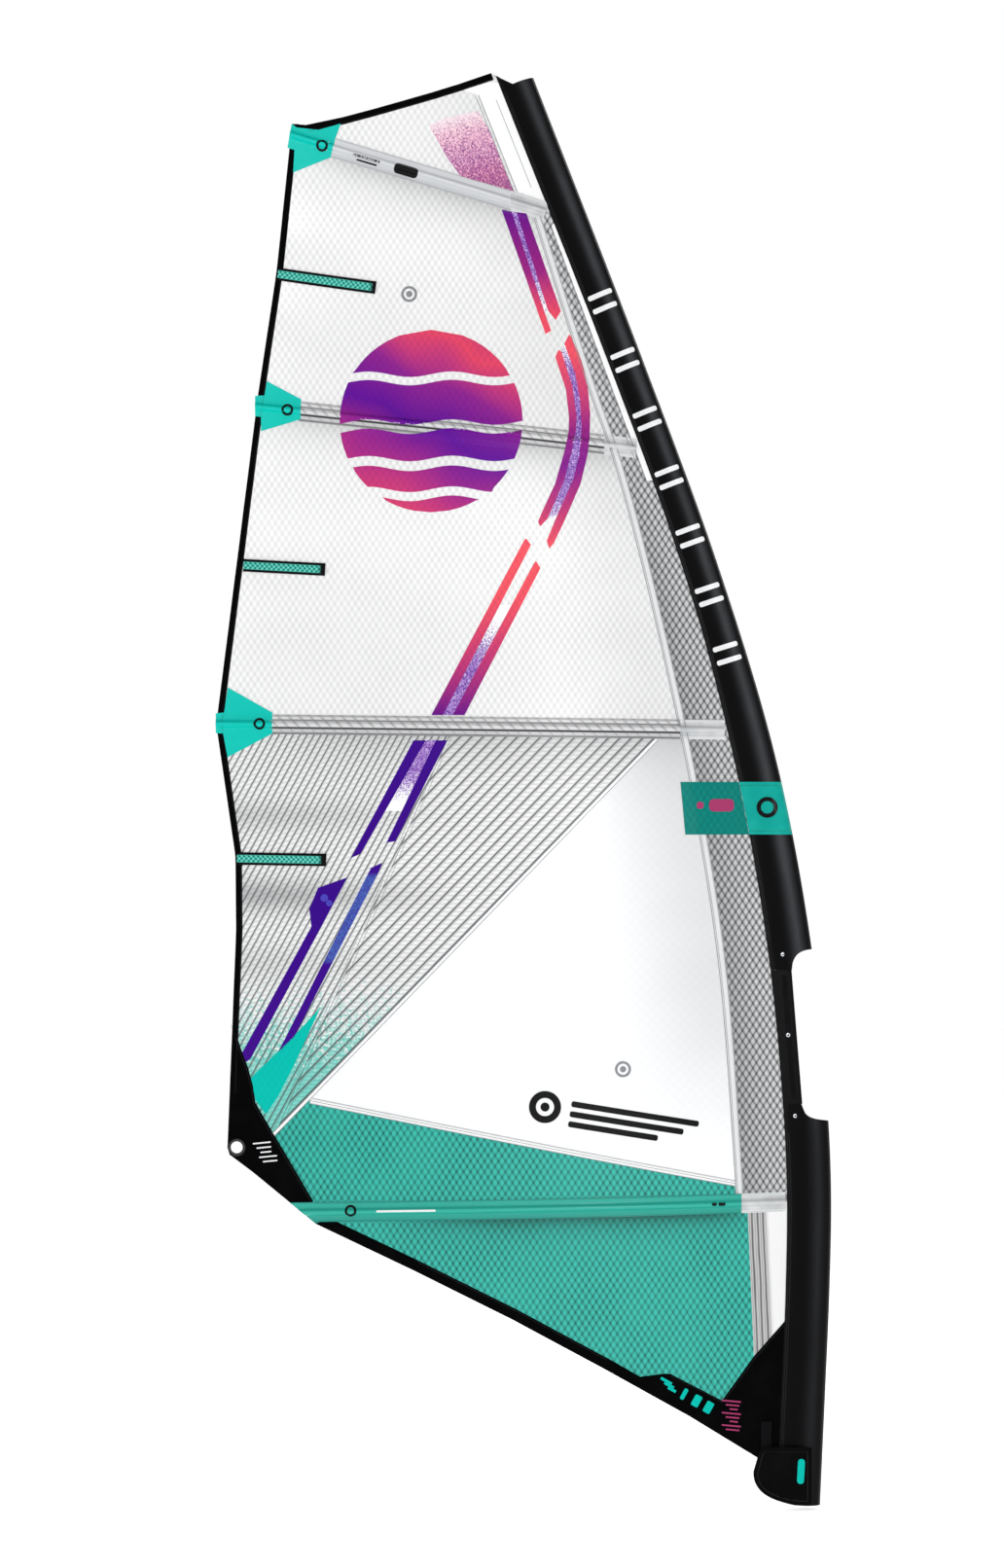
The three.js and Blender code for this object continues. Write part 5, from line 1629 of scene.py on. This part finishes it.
def target(x, z):
    return [ring(x, z, 0.023, 0.016), circle(x, z, 0.009, 18)]


black_marks = [
    ring(*BADGE, 0.046, 0.026), circle(*BADGE, 0.013, 20), badge_bar(0.258, 0.021, 0.370),
    badge_bar(0.238, -0.008, 0.330), badge_bar(0.203, -0.037, 0.260),
    bar(-1.155, 3.829, 0.070, 0.030, HEAD_ANGLE), bar(-1.268, 3.863, 0.080, 0.006, HEAD_ANGLE),
    bar(-1.268, 3.852, 0.060, 0.005, HEAD_ANGLE), bar(-0.272, 0.868, 0.014, 0.010, 1),
    bar(-0.250, 0.868, 0.020, 0.010, 1)]
black_marks += [ring(x, z, 0.017, 0.010) for x, z in ((-1.314, 0.847), (-1.576, 2.244),
                                                      (-1.495, 3.144), (-1.395, 3.899))]
printed("black_marks", black_marks, PAINT["black_ink"], step=0.0045)
printed("grey_marks", [*target(-1.146, 3.476), *target(-0.534, 1.255)], PAINT["grey_ink"])
printed("white_pocket_line", [bar(-1.155, 0.8485, 0.170, 0.006, 1.2)], PAINT["white_ink"],
        step=0.005)
printed("pink_band_label", [bar(-0.250, 2.010, 0.072, 0.036), bar(-0.312, 2.010, 0.020, 0.020)],
        PAINT["pink_ink"], base=0.0021)

MARK_SPAN = (3.457, 2.446)
MARK_APART = 0.020
sleeve_marks = []
for z in np.linspace(*MARK_SPAN, 7):
    x = float((sleeve_back(z) + sleeve_front(z)) / 2)
    rise = math.atan2(0.1, float(sleeve_front(z - 0.05) - sleeve_front(z + 0.05)))
    for off in (-MARK_APART, MARK_APART):
        sleeve_marks.append(bar(x + off * math.cos(rise), z - off * math.sin(rise), 0.072, 0.0145,
                                90 - math.degrees(rise)))
printed("sleeve_marks", sleeve_marks, PAINT["white_ink"], slot="sleeve_cloth",
        surface=sleeve_face, step=0.005)
printed("band_ring", [ring(-0.119, 2.004, 0.030, 0.018)], PAINT["black_ink"],
        slot="teal_band", surface=sleeve_face, step=0.005)

# ---------------------------------------------------------------- round and bent hard parts

THREAD_PITCH = 0.0012
THREAD_DEPTH = 0.0004


def mirrored(half):
    """A profile that is the same above and below height 0, from its lower half."""
    return [*half, *[(radius, -height) for radius, height in half[::-1] if height]]


def hexed(mesh_data, inner):
    """A turned part whose points within a radius make a six-sided socket."""
    verts = mesh_data[0].copy()
    radius = np.hypot(verts[:, 0], verts[:, 1])
    angle = np.arctan2(verts[:, 1], verts[:, 0])
    flat = np.cos(np.pi / 6) / np.cos((angle % (np.pi / 3)) - np.pi / 6)
    verts[:, :2] *= np.where((radius > 1e-6) & (radius < inner), flat, 1.0)[:, None]
    return verts, mesh_data[1]


def threaded(start, end, radius, segments=28):
    """A screw thread along +Z from start to end."""
    z = np.linspace(start, end, int((end - start) / THREAD_PITCH * 4))
    turns = turns_of(segments)
    phase = (z[:, None] / THREAD_PITCH - turns / (2 * np.pi)) % 1
    reach = radius - THREAD_DEPTH * (1 - np.abs(2 * phase - 1))
    reach[[0, -1]] = radius - THREAD_DEPTH
    return lofted(np.stack([reach * np.cos(turns), reach * np.sin(turns),
                            np.repeat(z[:, None], segments, 1)], -1))


def tip_profile(rod):
    """The cap on a rod's luff end, bored for the rod and rounded at its own end."""
    bore, rim = rod + 0.0004, rod + 0.0016
    return [(0, 0.008), (bore, 0.008), (bore, 0.0006), (bore + 0.0004, 0), (rim - 0.0003, 0),
            (rim, 0.0006), (rim, 0.0200), (rim - 0.0004, 0.0225), (rod, 0.0275),
            (rod - 0.0012, TIP_LENGTH), (0, TIP_LENGTH)]


SCREW_START = 0.009
SCREW_LENGTH = 0.036
SOCKET = 0.0024
PLUG_FROM = 0.018
TIP_LENGTH = 0.030
IN_TIP = 0.007
ROD_STEP = 0.030
SCREW_HEAD = [(0, 0.0030), (0.0023, 0.0028), (0.0023, 0.0003), (0.0026, 0), (0.0046, 0),
              (0.0052, 0.0003), (0.0054, 0.0009), (0.0054, 0.0044), (0.0050, 0.0050),
              (0.0031, 0.0050), (0.0030, 0.0060), (0, 0.0060)]
PLUG = [(0.0033, 0.0006), (0.0037, 0), (0.0050, 0), (0.0056, 0.0006), (0.0056, 0.0034),
        (0.0052, 0.0038), (0.0052, 0.0048), (0.0056, 0.0052), (0.0056, 0.0084), (0.0052, 0.0088),
        (0.0052, 0.0098), (0.0056, 0.0102), (0.0056, 0.0174), (0.0050, 0.0180), (0.0037, 0.0180),
        (0.0033, 0.0174)]
for batten in battens:
    name = batten.name
    head = batten.place(SCREW_START)
    axis = unit(batten.place(SCREW_START + SCREW_LENGTH) - head)
    screw = merged([hexed(turned(SCREW_HEAD), SOCKET), threaded(0.0052, SCREW_LENGTH, 0.0030)])
    make_object(f"{name}_screw", aimed(screw, head, axis), PAINT["steel"],
                body=f"{name}_tension_screw", slot="steel",
                stands_for=[f"{name}_tension_screw"])
    make_object(f"{name}_plug", aimed(turned(PLUG, 40), head + PLUG_FROM * axis, axis),
                PAINT["grey_plastic"], body=f"{name}_tension_plug", slot="grey_plastic",
                stands_for=[f"{name}_tension_plug"])

    tip_at = batten.length - TIP_LENGTH
    route = [*np.arange(SCREW_START + SCREW_LENGTH + 0.001, tip_at + IN_TIP, ROD_STEP),
             tip_at + IN_TIP]
    make_object(f"{name}_rod", tube([batten.place(s) for s in route], batten.rod, 20),
                PAINT["carbon"], slot="batten_rod", stands_for=[f"{name}_batten"])
    end = batten.place(tip_at)
    make_object(f"{name}_tip", aimed(turned(tip_profile(batten.rod), 36), end,
                                     batten.place(batten.length) - end),
                PAINT["grey_plastic"], slot="grey_plastic", stands_for=[f"{name}_batten_tip"])

EYE = mirrored([(0.0170, -0.0016), (0.0176, -0.0034), (0.0192, -0.0043), (0.0222, -0.0044),
                (0.0243, -0.0039), (0.0250, -0.0030), (0.0246, -0.0024), (0.0197, -0.0022),
                (0.0195, -0.0018)])
make_object("clew_eye", aimed(turned(EYE, 72), CLEW_EYE, (0, 1, 0)), PAINT["black_plastic"],
            slot="black_plastic", stands_for=["clew_ring"])

CUP_HEIGHT = 4.008
MAST_LEAN = math.radians(21)
CUP = [(0, 0.056), (0.0140, 0.0545), (0.0155, 0.0530), (0.0155, 0.0008), (0.0162, 0),
       (0.0173, 0), (0.0180, 0.0008), (0.0180, 0.0555), (0.0172, 0.0600), (0.0140, 0.0640),
       (0, 0.0640)]
cup_at = (float(sleeve_front(CUP_HEIGHT)) - MAST_ROOM[0], 0, CUP_HEIGHT)
make_object("mast_cup", aimed(turned(CUP, 56), cup_at,
                              (-math.sin(MAST_LEAN), 0, math.cos(MAST_LEAN))),
            PAINT["black_plastic"], slot="batten_rod", stands_for=["mast_tip_cup"])

ROLLER_PITCH = 0.012
ROLLER = mirrored([(0.00315, -0.0051), (0.0036, -0.0055), (0.0088, -0.0055), (0.0095, -0.0050),
                   (0.0095, -0.0042), (0.0084, -0.0022), (0.0074, -0.0007), (0.0070, 0.0)])
PIN = mirrored([(0, -0.0238), (0.0040, -0.0238), (0.0050, -0.0230), (0.0050, -0.0222),
                (0.0046, -0.0218), (0.0030, -0.0218)])
for k in (1, 2, 3):
    centre = (PULLEY[0] + (k - 2) * ROLLER_PITCH, PULLEY[1], PULLEY[2])
    make_object(f"roller_{k}", aimed(turned(ROLLER, 56), centre, (1, 0, 0)),
                PAINT["black_plastic"], body=f"pulley_roller_{k}", slot="black_plastic",
                stands_for=[f"pulley_roller_{k}"])
make_object("pulley_pin", aimed(turned(PIN, 40), PULLEY, (1, 0, 0)), PAINT["steel"],
            slot="steel", stands_for=["pulley_axle"])


def bracket():
    """The pulley's cheeks and the bar over them, bent from one strip with rounded ends."""
    gap, wall, half_width, top, low, radius = 0.0185, 0.0030, 0.0120, 0.022, -0.013, 0.004
    cheek, turn_height = -gap - wall / 2, top - wall / 2 - radius
    path = [(cheek, low)]
    path += [(cheek + radius + radius * math.cos(a), turn_height + radius * math.sin(a))
             for a in np.radians(np.arange(180, 89, -15))]
    path += [(-x, z) for x, z in path[::-1]]
    return lofted([[(PULLEY[0] + x + depth * nx, side, PULLEY[2] + z + depth * nz)
                    for depth, side in ((wall / 2, -half_width), (wall / 2, half_width),
                                        (-wall / 2, half_width), (-wall / 2, -half_width))]
                   for (x, z), (nx, nz) in zip(path, leftward(heading(path)))])


bracket_piece = make_object("pulley_bracket", bracket(), PAINT["steel"], slot="steel",
                            stands_for=["pulley_frame"])
softened = bmesh.new()
softened.from_mesh(bracket_piece.data)
sharp = [e for e in softened.edges if len(e.link_faces) == 2 and e.calc_face_angle() > 0.9]
bmesh.ops.bevel(softened, geom=sharp, offset=0.0006, segments=2, affect="EDGES")
softened.to_mesh(bracket_piece.data)
softened.free()
bracket_piece.data.polygons.foreach_set("use_smooth", [True] * len(bracket_piece.data.polygons))
bracket_piece.data.set_sharp_from_angle(angle=math.radians(35))

# ---------------------------------------------------------------- webbing, eyelets and the flap

WEB_SECTION = [(-1, 0), (-0.97, -0.8), (-0.88, -1), (-0.45, -1), (0, -1), (0.45, -1), (0.88, -1),
               (0.97, -0.8)]
STRAP_WIDTH = 0.030
STRAP_FROM = PULLEY[2] + 0.024
STRAP_LANDS = 0.130
STRAP_OFF = 0.0042
BELT_WIDTH = 0.014
BELT_OFF = 0.0041


def webbing(name, path, width, thickness, stands_for):
    """A flat strap along a path, its width lying along X, with rounded edges."""
    normal = unit(np.cross(heading(path), (1.0, 0.0, 0.0)))
    section = [(a * width / 2, b * thickness / 2)
               for a, b in (*WEB_SECTION, *[(-a, -b) for a, b in WEB_SECTION])]
    rings = [[p + (a, 0, 0) + b * n for a, b in section] for p, n in zip(path, normal)]
    return make_object(name, lofted(rings), PAINT["webbing"], slot="webbing",
                       stands_for=stands_for)


strap_z = np.linspace(STRAP_FROM, 0.240, 30)
landed = cloth_y(PULLEY[0], np.maximum(strap_z, STRAP_LANDS)) - STRAP_OFF
strap_y = np.where(strap_z > STRAP_LANDS, landed,
                   np.interp(strap_z, [STRAP_FROM, STRAP_LANDS], [-0.0015, landed[0]]))
strap_path = np.stack([np.full(30, PULLEY[0]), strap_y, strap_z], 1)
strap = webbing("tack_strap", strap_path, STRAP_WIDTH, 0.0020, ["pulley_strap"])
float(run_along(strap_path)[-1])


def opening_ring(x, z):
    """The opening strip's section at a height, from the sleeve's back edge to its own rim."""
    back = float(sleeve_back(z))
    side = [(back, 0.0025), (back + 0.02, 0.0028), (x - 0.020, 0.0030), (x - 0.006, 0.0029),
            (x - 0.0015, 0.0020), (x, 0.0)]
    return [(px, py, z) for px, py in (*[(px, -py) for px, py in side[:-1]], *side[::-1])]


OPENING = [CUTOUT["bottom"], CUTOUT["top"]]
cut_z = np.linspace(CUTOUT["bottom"] + 0.0003, CUTOUT["top"] - 0.0003, 40)
cut_x = np.interp(cut_z, OPENING, [CUTOUT["bottom_x"], CUTOUT["top_x"]])
boom_strip = make_object("boom_opening_strip",
                         lofted([opening_ring(x, z) for x, z in zip(cut_x, cut_z)]),
                         PAINT["sleeve"], slot="sleeve_cloth", stands_for=["cutout_strip"])

belt_z = np.linspace(1.165, 1.522, 48)
belt_path = np.stack([np.interp(belt_z, OPENING, [-0.040, -0.070]), np.full(48, -BELT_OFF),
                      belt_z], 1)
belt = webbing("boom_opening_webbing", belt_path, BELT_WIDTH, 0.0014, ["cutout_webbing"])

EYELET = [(0.0026, -0.0007), (0.0031, -0.0013), (0.0052, -0.0013), (0.0060, -0.0007),
          (0.0060, 0.0002), (0.0026, 0.0002)]
EYELETS = ((-0.074, float(leeward_side(-0.074, 1.582)), 1.582), (-0.058, -0.0049, 1.350),
           (-0.038, float(leeward_side(-0.038, 1.118)), 1.118))
make_object("boom_eyelets", merged([aimed(turned(EYELET, 28), place, (0, 1, 0))
                                    for place in EYELETS]), PAINT["steel"])

FLAP_PLAN = smooth([(-0.160, -0.009), (-0.140, -0.019), (-0.090, -0.028), (-0.030, -0.035),
                    (0.008, -0.036)])
FLAP_THICKNESS = 0.0050
FLAP_SEAM = 0.012
FLAP_QUILT = 0.0006
FLAP_WAVE = 0.0012
FLAP_STEP = 0.006
FLAP_THREAD = 0.00045
RIM_SHARE = 0.35
FURROW = 0.0016
FLAP_CURVE = np.array([(-0.158, 0.096), (-0.162, 0.020), (-0.036, 0.003)])
FLAP = [(0.008, 0.003), (0.008, 0.168), (-0.128, 0.168), (-0.137, 0.164), (-0.142, 0.155),
        *bend(*FLAP_CURVE, 25).tolist()]
flap_rim = refined(FLAP, FLAP_STEP)


def flap_middle(points, depth):
    """The Y of the middle of the flap, which waves a little away from its rim and its hinge."""
    wave = FLAP_WAVE * np.sin(38 * points[:, 0] + 20 * points[:, 1]) * eased(depth, 0.0, 0.03)
    return FLAP_PLAN(points[:, 0]) + FLAP_THICKNESS / 2 + wave * eased(points[:, 0], 0.0, -0.05)


def flap_mark_face(points):
    """The Y just off the flap's leeward face, away from its rim."""
    return flap_middle(points, edge_distance(flap_rim, points)) - FLAP_THICKNESS / 2 - 0.0003


def inset(outline, distance):
    """A closed outline that runs counterclockwise, moved inward with its corners kept."""
    loop = np.array(outline)
    inward = leftward(unit(np.roll(loop, -1, 0) - loop))
    before = np.roll(inward, 1, 0)
    return loop + distance * (before + inward) / (1 + (before * inward).sum(1))[:, None]


points, triangles = triangulated(FLAP, FLAP_STEP)
depth = edge_distance(flap_rim, points)
quilt = FLAP_QUILT * np.exp(-((depth - FLAP_SEAM) / FURROW) ** 2)
half_thick = FLAP_THICKNESS / 2 * (RIM_SHARE + (1 - RIM_SHARE) * eased(depth, 0.0, 0.007)) - quilt
middle = flap_middle(points, depth)
flap = make_object("tack_flap_pad",
                   thick_sheet(points, triangles, middle - half_thick, middle + half_thick),
                   PAINT["neoprene"], body="tack_flap", slot="sleeve_cloth",
                   stands_for=["tack_flap"])
loop = refined(inset(FLAP, FLAP_SEAM), FLAP_STEP)
loop_y = flap_middle(loop, np.full(len(loop), FLAP_SEAM))
loop_out = FLAP_THICKNESS / 2 - FLAP_QUILT + 0.0002
seam_tubes = [tube(np.stack([loop[:, 0], loop_y + side * loop_out, loop[:, 1]], 1), FLAP_THREAD,
                   5, True) for side in (-1, 1)]
make_object("tack_flap_stitches", merged(seam_tubes), PAINT["thread_dark"], body="tack_flap")
printed("tack_flap_mark", [bar(-0.023, 0.100, 0.072, 0.020, 87, 0.48)], PAINT["teal_ink"],
        surface=flap_mark_face, step=0.005, body="tack_flap")

# ---------------------------------------------------------------- sleeve seams

SLEEVE_SEAMS = ((0.16, 1.07), (1.62, 1.92), (2.083, 4.06))
SEAM_ROWS = (0.006, 0.0115)
HEM = 0.010
STITCH = 0.0045
STITCH_SWING = 0.0008


def sleeve_line(low, high, along):
    """A dotted seam up both sides of the sleeve, a given distance from its back edge."""
    path = []
    for k, z in enumerate(np.arange(low, high, STITCH)):
        x = float(sleeve_back(z)) + along + STITCH_SWING * (-1) ** k
        path.append((x, abs(leeward_side(x, z)) + 0.0002, z))
    return [tube(np.array(path) * (1, side, 1), 0.0004, 4) for side in (-1, 1)]


def hem_line(z):
    """A line of stitches right round the sleeve at a height."""
    return tube([(x, y + math.copysign(0.0003, y) if y else 0.0, z) for x, y in sleeve_ring(z)],
                0.0005, 4)


seams = [line for low, high in SLEEVE_SEAMS for along in SEAM_ROWS
         for line in sleeve_line(low, high, along)]
make_object("sleeve_stitches", merged(seams), PAINT["thread_dark"])
make_object("band_hem_stitches", merged([hem_line(BAND[0] + HEM), hem_line(BAND[1] - HEM)]),
            PAINT["thread_teal"])
